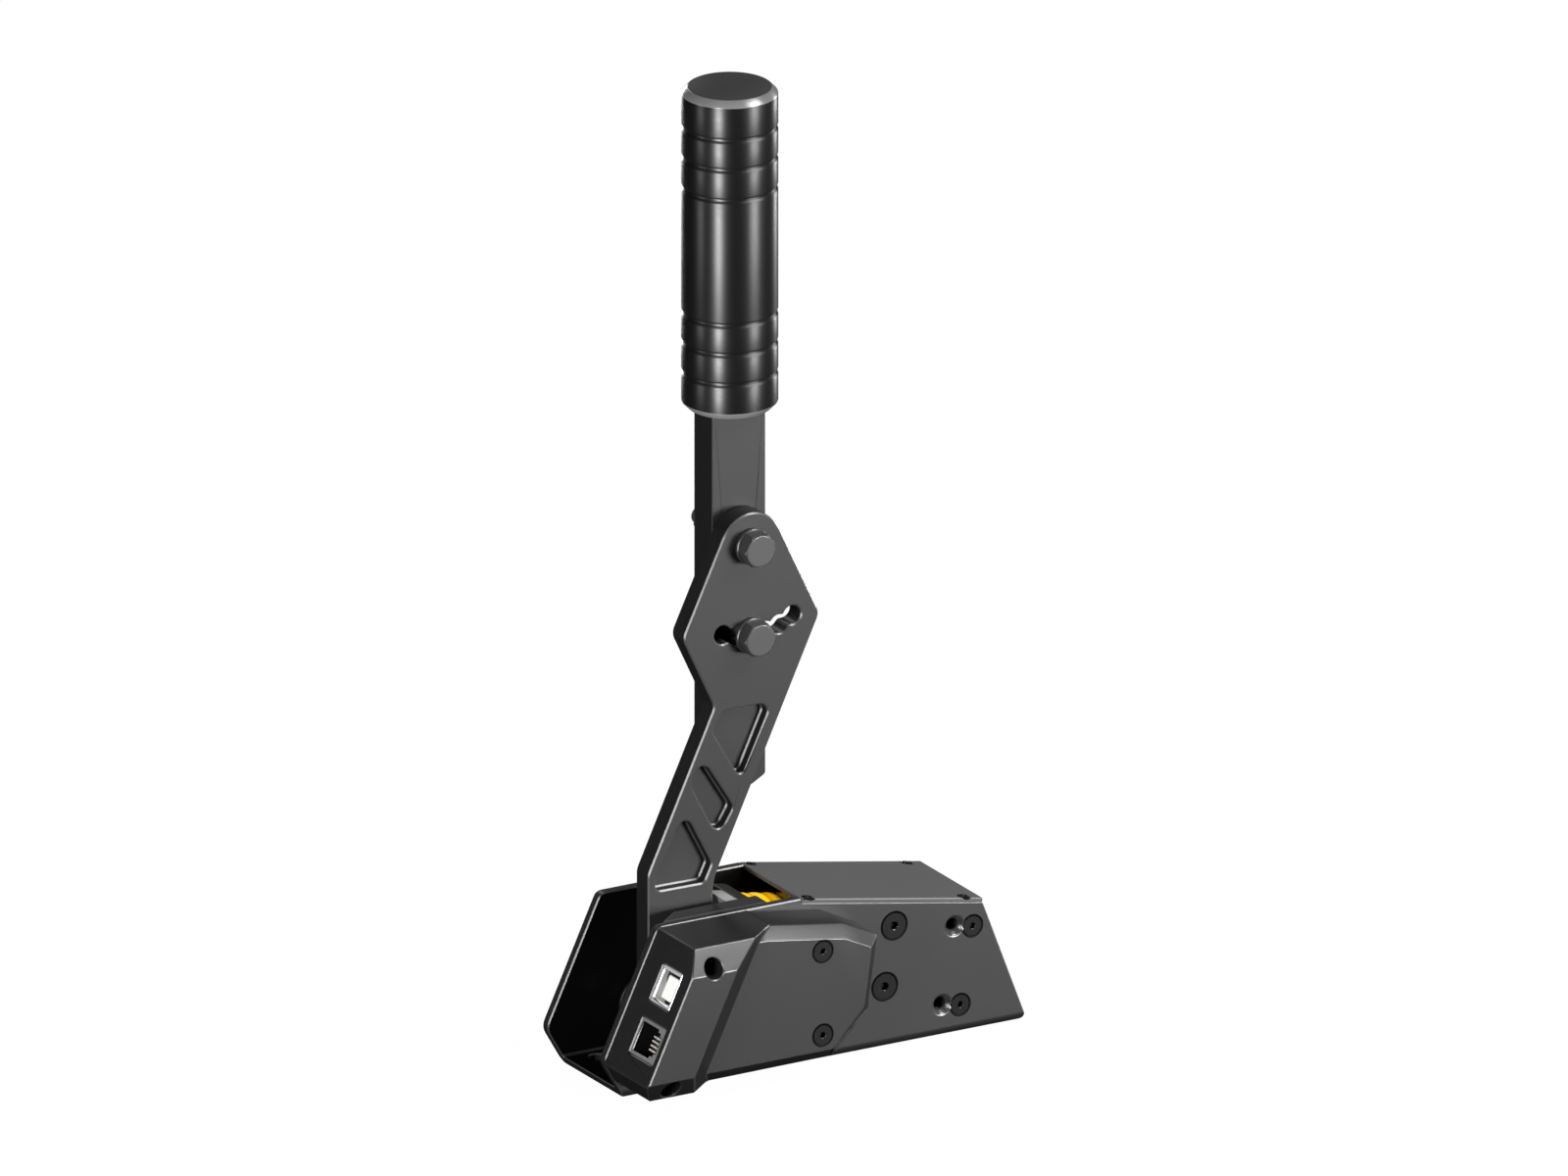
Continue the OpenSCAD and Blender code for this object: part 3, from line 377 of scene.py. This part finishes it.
@dataclass
class Assembly:
    """A sub-assembly. A field named after a node is the bevel of that node, in millimetres.

    Args:
        segments: faces across a bevel.
        corner_degrees: the least turn between two faces that counts as an edge.
    """

    segments: int = 1
    corner_degrees: float = 28

    def build(self) -> None:
        """Softens the nodes named by the fields, then makes the new pieces."""
        for item in fields(self):
            if item.name in BODY_OF:
                self.soften(item.name, getattr(self, item.name))
        self.extra()

    def extra(self) -> None:
        """Makes the pieces that are new in this sub-assembly."""

    def soften(self, node: str, width: float) -> None:
        """Stands a merged copy with bevelled edges in a node's place.

        Args:
            node: the node's name.
            width: width of the bevel in millimetres.
        """
        source = frame["nodes"][node]
        piece = bpy.data.objects.new(node + "_dressed", source.data.copy())
        bpy.context.scene.collection.objects.link(piece)
        self.correct(piece, node)
        Bench.edit(piece)
        bpy.ops.mesh.remove_doubles(threshold=0.002 * MM)
        bpy.ops.mesh.dissolve_limited(angle_limit=math.radians(0.4))
        Bench.close()
        if piece.data.has_custom_normals:
            bpy.ops.mesh.customdata_custom_splitnormals_clear()
        self.finish(piece, node)
        # The bevel's faces take the second material, whose lighter grey is a painted highlight
        # along the edges.
        Bench.apply(piece, "BEVEL", width=width * MM, segments=self.segments,
                    limit_method="ANGLE", angle_limit=math.radians(self.corner_degrees),
                    use_clamp_overlap=False, miter_outer="MITER_ARC", harden_normals=False,
                    material=1)
        Bench.smooth(piece)
        Bench.apply(piece, "WEIGHTED_NORMAL", keep_sharp=True)
        self.place(piece, node)

    def correct(self, piece: bpy.types.Object, node: str) -> None:
        """Moves points of a node's copy before it is softened; most assemblies move none."""

    def finish(self, piece: bpy.types.Object, node: str) -> None:
        """Gives a piece the two materials of a node's finish: its faces' first, its edges' second,
        which carries a painted highlight.

        Args:
            piece: the piece.
            node: the node whose finish it takes.
        """
        look = FINISHES[SLOT_OF[node]]
        piece.data.materials.clear()
        piece.data.materials.append(look.material())
        piece.data.materials.append(look.material(edge_polish_and_highlight=True))

    def place(self, piece: bpy.types.Object, node: str) -> None:
        """Gives a piece its body, and takes the node it stands for out of view.

        Args:
            piece: the new piece.
            node: the node that it replaces.
        """
        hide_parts(node)
        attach(piece, BODY_OF[node])
        LOG.info("%s: %d faces, rides on %s", piece.name, len(piece.data.polygons),
                 BODY_OF[node])

    def stain(self, piece: bpy.types.Object, look: str,
              chosen: Callable[[bpy.types.MeshPolygon], bool]) -> None:
        """Gives some faces of a piece one more finish, a real one or painted shade.

        Args:
            piece: the piece.
            look: the name of the finish.
            chosen: tells whether a face takes it.
        """
        piece.data.materials.append(FINISHES[look].material())
        index = len(piece.data.materials) - 1
        for face in piece.data.polygons:
            if chosen(face):
                face.material_index = index

    def shade_gaps(self, host: str, screws: tuple[str, ...], reach_mm: float = 1.1) -> None:
        """Paints shade in black on the narrow slanted faces of a piece that stand against its
        screws' heads.

        Args:
            host: the node that the screws are sunk in.
            screws: the nodes of the screws.
            reach_mm: how far from a head a face may stand.
        """
        spots = [v.co for node in screws for v in frame["nodes"][node].data.vertices]
        tree = KDTree(len(spots))
        for number, spot in enumerate(spots):
            tree.insert(spot, number)
        tree.balance()

        def in_gap(face: bpy.types.MeshPolygon) -> bool:
            """Tells whether a face is slanted and close to a head."""
            slanted = max(abs(part) for part in face.normal) < SQUARE
            return slanted and tree.find(face.center)[2] < reach_mm * MM

        self.stain(bpy.data.objects[host + "_dressed"], "screw_gap", in_gap)

    def turned(self, name: str, profile: list[tuple[float, float]], sides: int) -> bpy.types.Object:
        """Turns a closed profile about Z by extruding and resizing one ring.

        Args:
            name: the piece's name.
            profile: radius and height in millimetres, from the bottom up; both ends are closed.
            sides: number of vertices round the ring.

        Returns:
            The piece, about the world's Z axis.
        """
        Bench.clear()
        radius, height = profile[0]
        bpy.ops.mesh.primitive_circle_add(vertices=sides, radius=radius * MM, fill_type="NGON",
                                          location=(0, 0, height * MM))
        piece = bpy.context.object
        piece.name = name
        Bench.settle(piece)
        Bench.edit(piece)
        bpy.ops.mesh.flip_normals()
        for low, high in zip(profile, profile[1:]):
            bpy.ops.mesh.extrude_region_move(
                TRANSFORM_OT_translate={"value": (0, 0, (high[1] - low[1]) * MM)})
            factor = high[0] / low[0]
            bpy.ops.transform.resize(value=(factor, factor, 1),
                                     center_override=(0, 0, high[1] * MM))
        bpy.ops.mesh.select_all(action="SELECT")
        bpy.ops.mesh.remove_doubles(threshold=0.001 * MM)
        bpy.ops.mesh.normals_make_consistent(inside=False)
        Bench.close()
        return piece


@dataclass
class Channel(Assembly):
    """The folded channel with its roof plate, blocks and screws.

    Args:
        bare_mm: X and Z of the empty countersinks' axes.
        bare_radius_mm: the reach of a countersink round its axis.
        floor_mm: height under which the inside's level faces are the floor.
    """

    chassis: float = 0.4
    roof_plate: float = 0.3
    roof_screws: float = 0.1
    guide_block: float = 0.5
    rear_block: float = 0.5
    block_screws: float = 0.18
    rear_block_screws: float = 0.15
    bracket_screws: float = 0.18
    bare_mm: tuple[tuple[float, float], ...] = ((48.25, 37.75), (43.58, 11.26))
    bare_radius_mm: float = 3.9
    floor_mm: float = 6.0

    def extra(self) -> None:
        """Paints shade into the gaps round the screws and over the inside, and bares the empty
        cones.
        """
        self.shade_gaps("chassis", ("block_screws", "rear_block_screws", "bracket_screws"))
        self.shade_gaps("roof_plate", ("roof_screws",))
        chassis = bpy.data.objects["chassis_dressed"]
        self.stain(chassis, "bare_cone", self.in_cone)
        # Painted shade on the inner faces of the walls and on the floor's top.
        self.stain(chassis, "chassis_inside", self.inside)

    def in_cone(self, face: bpy.types.MeshPolygon) -> bool:
        """Tells whether a face of the channel is in the cone of an empty countersink."""
        near = any(math.hypot(face.center.x / MM - x, face.center.z / MM - z) < self.bare_radius_mm
                   for x, z in self.bare_mm)
        return near and ASIDE < abs(face.normal.y) < SQUARE

    def inside(self, face: bpy.types.MeshPolygon) -> bool:
        """Tells whether a face is on the inner side of a wall or on the floor's top, the faces that
        take the painted shade.
        """
        wall = abs(face.normal.y) > SQUARE and face.normal.y * face.center.y < 0
        return wall or (face.normal.z > SQUARE and face.center.z < self.floor_mm * MM)


@dataclass
class BrakeStack(Assembly):
    """The rings, the rod through them and what they press on.

    Args:
        ring_sides: vertices round a ring.
        rings: how many rings there are.
        pitch_mm: from one ring to the next.
        first_mm: the first ring's face, along the rod from the middle of the channel.
        middle_mm: the rod's height over the middle of the channel.
        tilt_degrees: the slope of the rod, down towards the rear.
        anchor_m: the middle of the face that the rings are pressed against; not used.
        keep: the share of their length that the rings keep when the rod is drawn; not used.
    """

    segments: int = 2
    pivot_bracket: float = 0.5
    stop_plate: float = 0.5
    stop_screws: float = 0.12
    stop_bumper: float = 0.5
    web_bush: float = 0.2
    guide_bush: float = 0.25
    pull_rod: float = 0.35
    rod_pin: float = 0.25
    pressure_washer: float = 0.35
    preload_nut: float = 0.3
    ring_sides: int = 112
    rings: int = 6
    pitch_mm: float = 5.3
    first_mm: float = -23.7
    middle_mm: float = 35.9
    tilt_degrees: float = 10.0
    anchor_m: tuple[float, float, float] = (-0.02334, 0, 0.04002)
    keep: float = 0.79

    def extra(self) -> None:
        """Turns the rings and lays them along the tilted rod."""
        tilt = math.radians(self.tilt_degrees)
        axis = Vector((math.cos(tilt), 0, -math.sin(tilt)))
        turn = Matrix.Rotation(math.pi / 2 + tilt, 4, "Y")
        laid = []
        for number in range(self.rings):
            ring = self.turned("ring_%d" % (number + 1), self.profile(), self.ring_sides)
            along = axis * (self.first_mm + number * self.pitch_mm)
            place = Vector((0, 0, self.middle_mm)) + along
            ring.matrix_world = Matrix.Translation(place * MM) @ turn
            Bench.settle(ring)
            laid.append(ring)
        stack = Bench.join(laid, "elastomer_rings_dressed")
        self.finish(stack, "elastomer_rings")
        Bench.smooth(stack, 30)
        self.place(stack, "elastomer_rings")
        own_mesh(stack)

    @staticmethod
    def profile() -> list[tuple[float, float]]:
        """Gives the round-edged section of one ring, as radii and heights in millimetres."""
        return [(5.4, 0.3), (5.8, 0.05), (12.9, 0.05), (13.7, 0.22), (14.4, 0.65), (14.8, 1.25),
                (15.0, 2.0), (15.0, 3.3), (14.8, 4.05), (14.4, 4.65), (13.7, 5.08), (12.9, 5.25),
                (5.8, 5.25), (5.4, 5.0)]


@dataclass
class Lever(Assembly):
    """The arm plate with its hub, shaft, magnet and bushes."""

    arm_plate: float = 0.5
    pivot_hub: float = 0.4
    pivot_shaft: float = 0.4
    hub_spacer: float = 0.25
    thrust_washer: float = 0.2
    hub_set_screw: float = 0.1
    sensor_magnet: float = 0.2
    near_pivot_bush: float = 0.25
    far_pivot_bush: float = 0.25


@dataclass
class Handle(Assembly):
    """The square bar, the turned grip and the two bolts.

    Args:
        grip_sides: vertices round the grip.
        grip_mm: heights of the grip's two ends.
        grip_axis_mm: X and Y of the grip's axis.
        radius_mm: the grip's radius.
        chamfer_mm: width of the chamfer at each end.
        grooves_mm: the grooves' distances from the upper end.
        bolts_mm: heights of the bolts' axes, which cross the lever at the grip's X.
        thread_mm: Y at which the thread starts and ends.
        thread_pitch_mm: from ridge to ridge.
        thread_keep: radius between the ridges, as a share of the bolt's.
    """

    handle_bar: float = 0.5
    clamp_bolts: float = 0.22
    clamp_washers: float = 0.25
    clamp_nuts: float = 0.25
    grip_stud: float = 0.4
    grip_sides: int = 192
    grip_mm: tuple[float, float] = (222.7, 333.4)
    grip_axis_mm: tuple[float, float] = (-20.5, 7.2)
    radius_mm: float = 15.9
    chamfer_mm: float = 2.0
    grooves_mm: tuple[float, ...] = (98.4, 88.0, 77.8, 34.4, 23.8, 13.5)
    bolts_mm: tuple[float, float] = (178.1, 147.1)
    thread_mm: tuple[float, float] = (21.3, 26.7)
    thread_pitch_mm: float = 0.9
    thread_keep: float = 0.86

    def extra(self) -> None:
        """Turns the grip, gives its end chamfers the edge material with its painted highlight and
        its top its own finish, and threads the bolts.
        """
        low, high = self.grip_mm
        grip = self.turned("grip_dressed", self.profile(), self.grip_sides)
        grip.matrix_world = Matrix.Translation(Vector((*self.grip_axis_mm, 0)) * MM)
        Bench.settle(grip)
        self.finish(grip, "grip")
        # Painted highlight: the chamfers at both ends take the edge material, a much lighter grey
        # than the grip's.
        end_mm = self.chamfer_mm + 0.6
        for face in grip.data.polygons:
            tall = face.center.z / MM
            at_end = tall > high - end_mm or tall < low + end_mm
            if at_end and ASIDE < abs(face.normal.z) < SQUARE:
                face.material_index = 1
        self.stain(grip, "grip_end",
                   lambda face: abs(face.normal.z) > 0.98 and face.center.z / MM > high - 1)
        Bench.smooth(grip, 35)
        self.place(grip, "grip")
        self.thread(bpy.data.objects["clamp_bolts_dressed"])

    def profile(self) -> list[tuple[float, float]]:
        """Gives the grip's outline with its rounded grooves and chamfered ends.

        Returns:
            Radius and height in millimetres, from the bottom up.
        """
        (low, high), radius, chamfer = self.grip_mm, self.radius_mm, self.chamfer_mm
        profile = [(11.5, low), (radius - chamfer, low), (radius - 0.2, low + chamfer - 0.2),
                   (radius, low + chamfer + 0.3)]
        for depth in self.grooves_mm:
            mid = high - depth
            profile += [(radius, mid - 1.25), (radius - 0.12, mid - 0.92),
                        (radius - 0.6, mid - 0.35), (radius - 0.6, mid + 0.35),
                        (radius - 0.12, mid + 0.92), (radius, mid + 1.25)]
        return profile + [(radius, high - chamfer - 0.25), (radius - 0.16, high - chamfer + 0.1),
                          (radius - chamfer + 0.12, high - 0.16),
                          (radius - chamfer - 0.15, high)]

    def thread(self, bolts: bpy.types.Object) -> None:
        """Cuts ridges into the bolts' free ends: bisects them and draws every other ring in.

        Args:
            bolts: the dressed bolts.
        """
        (low, high), pitch = self.thread_mm, self.thread_pitch_mm
        near_ring, near_bolt = 0.05, 8.0
        places = [low + step * pitch / 2 for step in range(int(2 * (high - low) / pitch) + 1)]
        for place in places:
            Bench.edit(bolts)
            bpy.ops.mesh.bisect(plane_co=(0, place * MM, 0), plane_no=(0, 1, 0))
            Bench.close()
        for height in self.bolts_mm:
            Bench.edit(bolts)
            bpy.ops.mesh.select_mode(type="VERT")
            bpy.ops.mesh.select_all(action="DESELECT")
            mesh = bmesh.from_edit_mesh(bolts.data)
            for point in mesh.verts:
                drawn = any(abs(point.co.y / MM - place) < near_ring for place in places[1::2])
                point.select_set(drawn and abs(point.co.z / MM - height) < near_bolt)
            mesh.select_flush_mode()
            bmesh.update_edit_mesh(bolts.data)
            bpy.ops.transform.resize(
                value=(self.thread_keep, 1, self.thread_keep),
                center_override=(self.grip_axis_mm[0] * MM, (low + high) / 2 * MM, height * MM))
            Bench.close()


@dataclass
class Electronics(Assembly):
    """The moulded housing with its sockets and boards.

    Args:
        lean_degrees: how far the front face leans back from upright.
        face_mm: X at which the front face, carried on downwards, meets the floor.
        jack_depth_mm: how deep under the front face the jack's painted shade inside starts.
        contacts: how many contacts the jack has.
        contact_mm: height of the contacts' middle up the front face.
        contact_pitch_mm: from one contact to the next.
        wire_mm: radius of a contact's wire.
        wire_path_mm: depth under the front face, and Y, of the points that a wire passes.
        corner_mm: where the points of the face plate's lower corner are, and where they go.
    """

    housing: float = 0.4
    face_screws: float = 0.12
    housing_screws: float = 0.15
    circuit_board: float = 0.12
    usb_shell: float = 0.3
    usb_insert: float = 0.3
    jack_body: float = 0.25
    sensor_board: float = 0.12
    board_spacers: float = 0.12
    board_screws: float = 0.1
    hall_sensor: float = 0.12
    lean_degrees: float = 25.2
    face_mm: float = -90.626
    jack_depth_mm: float = 0.7
    contacts: int = 4
    contact_mm: float = 29.4
    contact_pitch_mm: float = 1.5
    wire_mm: float = 0.34
    wire_path_mm: tuple[tuple[float, float], ...] = (
        (0.7, -44.6), (0.9, -40.6), (4.2, -38.2), (8.0, -37.6))
    corner_mm: tuple[tuple[tuple[float, float, float], ...], ...] = (
        ((-2.19, -40.0, 7.77), (-8.7, -40.0, 11.6)),
        ((-2.19, -39.9, 7.77), (-8.7, -39.9, 11.6)),
        ((-4.0, -37.6, 8.85), (-8.9, -37.6, 13.2)),
        ((-0.26, -37.6, 12.73), (-5.6, -37.6, 16.7)))

    def correct(self, piece: bpy.types.Object, node: str) -> None:
        """Draws the face plate's lower corner in, so that its bevel runs on round it.

        Args:
            piece: the copy of the node.
            node: the node's name.
        """
        if node != "housing":
            return
        moved, near_mm = 0, 0.03
        for point in piece.data.vertices:
            for old, new in self.corner_mm:
                if (point.co - Vector(old) * MM).length < near_mm * MM:
                    point.co = Vector(new) * MM
                    moved += 1
                    break
        LOG.info("housing: %d points of the lower corner drawn in", moved)

    def extra(self) -> None:
        """Paints shade into the gaps round the face screws and into the jack's inside, and bends
        its wires.
        """
        self.shade_gaps("housing", ("face_screws",))
        # Painted shade on the jack's faces that lie deeper than its mouth.
        self.stain(bpy.data.objects["jack_body_dressed"], "jack_inside",
                   lambda face: self.depth(face.center) > self.jack_depth_mm)
        middle = (self.contacts - 1) / 2
        wires = [self.wire(self.contact_mm + (number - middle) * self.contact_pitch_mm)
                 for number in range(self.contacts)]
        contacts = Bench.join(wires, "jack_contacts_dressed")
        self.finish(contacts, "jack_contacts")
        Bench.smooth(contacts, 40)
        self.place(contacts, "jack_contacts")

    def depth(self, spot: Vector) -> float:
        """Measures in millimetres how deep a spot lies under the leaning front face."""
        lean = math.radians(self.lean_degrees)
        return (spot.x / MM - self.face_mm) * math.cos(lean) - spot.z / MM * math.sin(lean)

    def wire(self, rise: float) -> bpy.types.Object:
        """Bends one sprung contact of the jack out of a ring.

        Args:
            rise: its height up the leaning front face, in millimetres.

        Returns:
            The contact.
        """
        lean = math.radians(self.lean_degrees)
        steps = [Vector((self.face_mm + depth * math.cos(lean) + rise * math.sin(lean), y,
                         rise * math.cos(lean) - depth * math.sin(lean))) * MM
                 for depth, y in self.wire_path_mm]
        Bench.clear()
        bpy.ops.mesh.primitive_circle_add(vertices=12, radius=self.wire_mm * MM,
                                          fill_type="NGON", location=steps[0],
                                          rotation=(math.pi / 2, 0, 0))
        wire = bpy.context.object
        wire.name = "contact"
        Bench.settle(wire)
        Bench.edit(wire)
        for start, end in zip(steps, steps[1:]):
            bpy.ops.mesh.extrude_region_move(TRANSFORM_OT_translate={"value": end - start})
        bpy.ops.mesh.select_all(action="SELECT")
        bpy.ops.mesh.normals_make_consistent(inside=False)
        Bench.close()
        return wire


@dataclass(frozen=True)
class Lamp:
    """One soft lamp of the studio.

    Args:
        name: its name.
        place_m: where it hangs.
        size_m: width and height.
        watts: its power.
        nodes: the nodes that it lights alone, as through a snoot; none means all.
    """

    name: str
    place_m: tuple[float, float, float]
    size_m: tuple[float, float]
    watts: float
    nodes: tuple[str, ...] = ()


LAMPS = (
    Lamp("lamp_top", (0.64, -0.7, 1.13), (0.6, 0.6), 21.0),
    Lamp("lamp_key", (0.69, -1.28, 0.17), (0.45, 0.34), 20.5),
    Lamp("lamp_edge", (-0.42, -0.26, 0.16), (0.07, 0.32), 1.5),
    Lamp("lamp_small", (-0.3, -0.35, 0.9), (0.3, 0.3), 6.0,
         ("elastomer_rings", "stop_plate", "usb_shell", "usb_insert", "jack_contacts")),
    Lamp("lamp_grip", (-0.6, -0.4, 0.22), (0.17, 0.42), 7.0, ("grip",)),
    Lamp("lamp_side", (1.3, 0.3, 0.2), (0.2, 0.5), 8.0),
    Lamp("lamp_left", (-1.35, 0.25, 0.12), (0.3, 0.4), 4.0),
    Lamp("lamp_far", (0.12, 1.5, 0.14), (0.5, 0.35), 9.0),
    Lamp("lamp_back", (0.3, 1.5, 0.6), (0.3, 1.0), 4.0),
)


@dataclass
class Studio:
    """The floor, the lights, the background and the camera.

    Args:
        azimuth: the camera's turn about Z, in degrees, from straight in front of the -Y side.
        elevation: its height over the horizon, in degrees.
        width_m: width of the picture.
        distance_m: from the camera to what it looks at.
        target_m: the point that it looks at.
        right_mm: how far the picture's middle lies to the right of that point.
        up_mm: how far it lies above it.
        aim_m: the point that the lamps face.
        card_radius_m: radius of the black card round the object.
        card_height_m: its height.
        floor_glow: strength of the white that the camera sees in the floor.
        floor_share: the share of that white in what the camera sees; the rest takes shadow.
        sky: strength of the surrounding on the object.
    """

    azimuth: float = -30.0
    elevation: float = 20.0
    width_m: float = 0.512
    distance_m: float = 2.0
    target_m: tuple[float, float, float] = (-0.0245, 0.0, 0.0)
    right_mm: float = 17.6
    up_mm: float = 152.2
    aim_m: tuple[float, float, float] = (-0.02, 0, 0.15)
    card_radius_m: float = 2.34
    card_height_m: float = 2.4
    floor_glow: float = 1.04
    floor_share: float = 0.95
    sky: float = 0.04

    def build(self) -> None:
        """Makes everything that isn't part of the object."""
        self.floor()
        self.world()
        self.lamps()
        self.camera()

    def axes(self) -> tuple[Vector, Vector, Vector]:
        """Gives the camera's directions.

        Returns:
            Right, up and back.
        """
        a, e = math.radians(self.azimuth), math.radians(self.elevation)
        back = Vector((math.sin(a) * math.cos(e), -math.cos(a) * math.cos(e), math.sin(e)))
        right = Vector((math.cos(a), math.sin(a), 0))
        return right, back.cross(right), back

    def camera(self) -> None:
        """Sets the parallel camera at the photograph's angle."""
        right, up, back = self.axes()
        data = bpy.data.cameras.new("camera")
        data.type = "ORTHO"
        data.ortho_scale = self.width_m
        data.clip_start, data.clip_end = 0.01, 20
        camera = bpy.data.objects.new("camera", data)
        bpy.context.scene.collection.objects.link(camera)
        middle = Vector(self.target_m) + right * self.right_mm * MM + up * self.up_mm * MM
        turn = Matrix((right, up, back)).transposed().to_4x4()
        camera.matrix_world = Matrix.Translation(middle + back * self.distance_m) @ turn
        bpy.context.scene.camera = camera

    def lamps(self) -> None:
        """Hangs the lamps round the object, and turns them towards it."""
        for lamp in LAMPS:
            data = bpy.data.lights.new(lamp.name, "AREA")
            data.shape = "RECTANGLE"
            data.size, data.size_y = lamp.size_m
            data.energy = lamp.watts
            made = bpy.data.objects.new(lamp.name, data)
            bpy.context.scene.collection.objects.link(made)
            made.visible_camera = False
            made.location = lamp.place_m
            ahead = Vector(self.aim_m) - Vector(lamp.place_m)
            made.rotation_euler = ahead.to_track_quat("-Z", "Y").to_euler()
            if lamp.nodes:
                lit = bpy.data.collections.new("lit_by_" + lamp.name)
                for node in lamp.nodes:
                    lit.objects.link(bpy.data.objects[node + "_dressed"])
                made.light_linking.receiver_collection = lit

    def seen(self, tree: bpy.types.NodeTree) -> bpy.types.Node:
        """Tells the rays that see the background from those that only carry light.

        Args:
            tree: the nodes of the world or of the floor.

        Returns:
            A node whose value is 1 for camera, glossy and transmission rays.
        """
        path = tree.nodes.new("ShaderNodeLightPath")
        total = path.outputs["Is Camera Ray"]
        for name in ("Is Glossy Ray", "Is Transmission Ray"):
            either = tree.nodes.new("ShaderNodeMath")
            either.operation = "MAXIMUM"
            tree.links.new(total, either.inputs[0])
            tree.links.new(path.outputs[name], either.inputs[1])
            total = either.outputs["Value"]
        return total.node

    def floor(self) -> None:
        """Lays a plain pale floor that takes a soft shadow."""
        Bench.clear()
        bpy.ops.mesh.primitive_plane_add(size=12, location=(0, 0, -0.0002))
        floor = bpy.context.object
        floor.name = "floor"
        Bench.settle(floor)
        made = bpy.data.materials.new("pale_floor")
        made.use_nodes = True
        tree = made.node_tree
        shader = tree.nodes["Principled BSDF"]
        shader.inputs["Base Color"].default_value = (0.4, 0.4, 0.4, 1)
        shader.inputs["Roughness"].default_value = 0.9
        shader.inputs["Specular IOR Level"].default_value = 0.1
        glow = tree.nodes.new("ShaderNodeEmission")
        glow.inputs["Strength"].default_value = self.floor_glow
        blend = tree.nodes.new("ShaderNodeMixShader")
        share = tree.nodes.new("ShaderNodeMath")
        share.operation = "MULTIPLY"
        share.inputs[1].default_value = self.floor_share
        tree.links.new(self.seen(tree).outputs["Value"], share.inputs[0])
        tree.links.new(share.outputs["Value"], blend.inputs["Fac"])
        tree.links.new(shader.outputs["BSDF"], blend.inputs[1])
        tree.links.new(glow.outputs["Emission"], blend.inputs[2])
        tree.links.new(blend.outputs["Shader"], tree.nodes["Material Output"].inputs["Surface"])
        floor.data.materials.append(made)
        self.card()

    def card(self) -> None:
        """Stands black card under, round and over the object, to deepen its reflections."""
        Bench.clear()
        bpy.ops.mesh.primitive_circle_add(vertices=64, radius=self.card_radius_m,
                                          fill_type="NGON", location=(0, 0, -0.0001))
        card = bpy.context.object
        card.name = "black_card"
        Bench.settle(card)
        Bench.edit(card)
        bpy.ops.mesh.extrude_region_move(
            TRANSFORM_OT_translate={"value": (0, 0, self.card_height_m)})
        Bench.close()
        made = bpy.data.materials.new("black_card")
        made.use_nodes = True
        shader = made.node_tree.nodes["Principled BSDF"]
        shader.inputs["Base Color"].default_value = (0.01, 0.01, 0.01, 1)
        shader.inputs["Roughness"].default_value = 0.9
        shader.inputs["Specular IOR Level"].default_value = 0.0
        card.data.materials.append(made)
        card.visible_camera = card.visible_shadow = card.visible_transmission = False

    def world(self) -> None:
        """Gives an even pale surrounding that is white to the camera."""
        world = bpy.data.worlds.new("studio")
        world.use_nodes = True
        tree = world.node_tree
        soft = tree.nodes["Background"]
        soft.inputs["Color"].default_value = (1, 1, 1, 1)
        soft.inputs["Strength"].default_value = self.sky
        white = tree.nodes.new("ShaderNodeBackground")
        white.inputs["Color"].default_value = (1, 1, 1, 1)
        blend = tree.nodes.new("ShaderNodeMixShader")
        tree.links.new(self.seen(tree).outputs["Value"], blend.inputs["Fac"])
        tree.links.new(soft.outputs["Background"], blend.inputs[1])
        tree.links.new(white.outputs["Background"], blend.inputs[2])
        tree.links.new(blend.outputs["Shader"], tree.nodes["World Output"].inputs["Surface"])
        bpy.context.scene.world = world
        bpy.context.scene.view_settings.view_transform = "Standard"


def main() -> None:
    """Builds the sub-assemblies in order, then the studio."""
    logging.basicConfig(level=logging.INFO, format="%(name)s %(message)s")
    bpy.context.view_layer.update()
    for assembly in (Channel(), BrakeStack(), Lever(), Handle(), Electronics()):
        assembly.build()
    Studio().build()


if __name__ == "__main__":
    main()
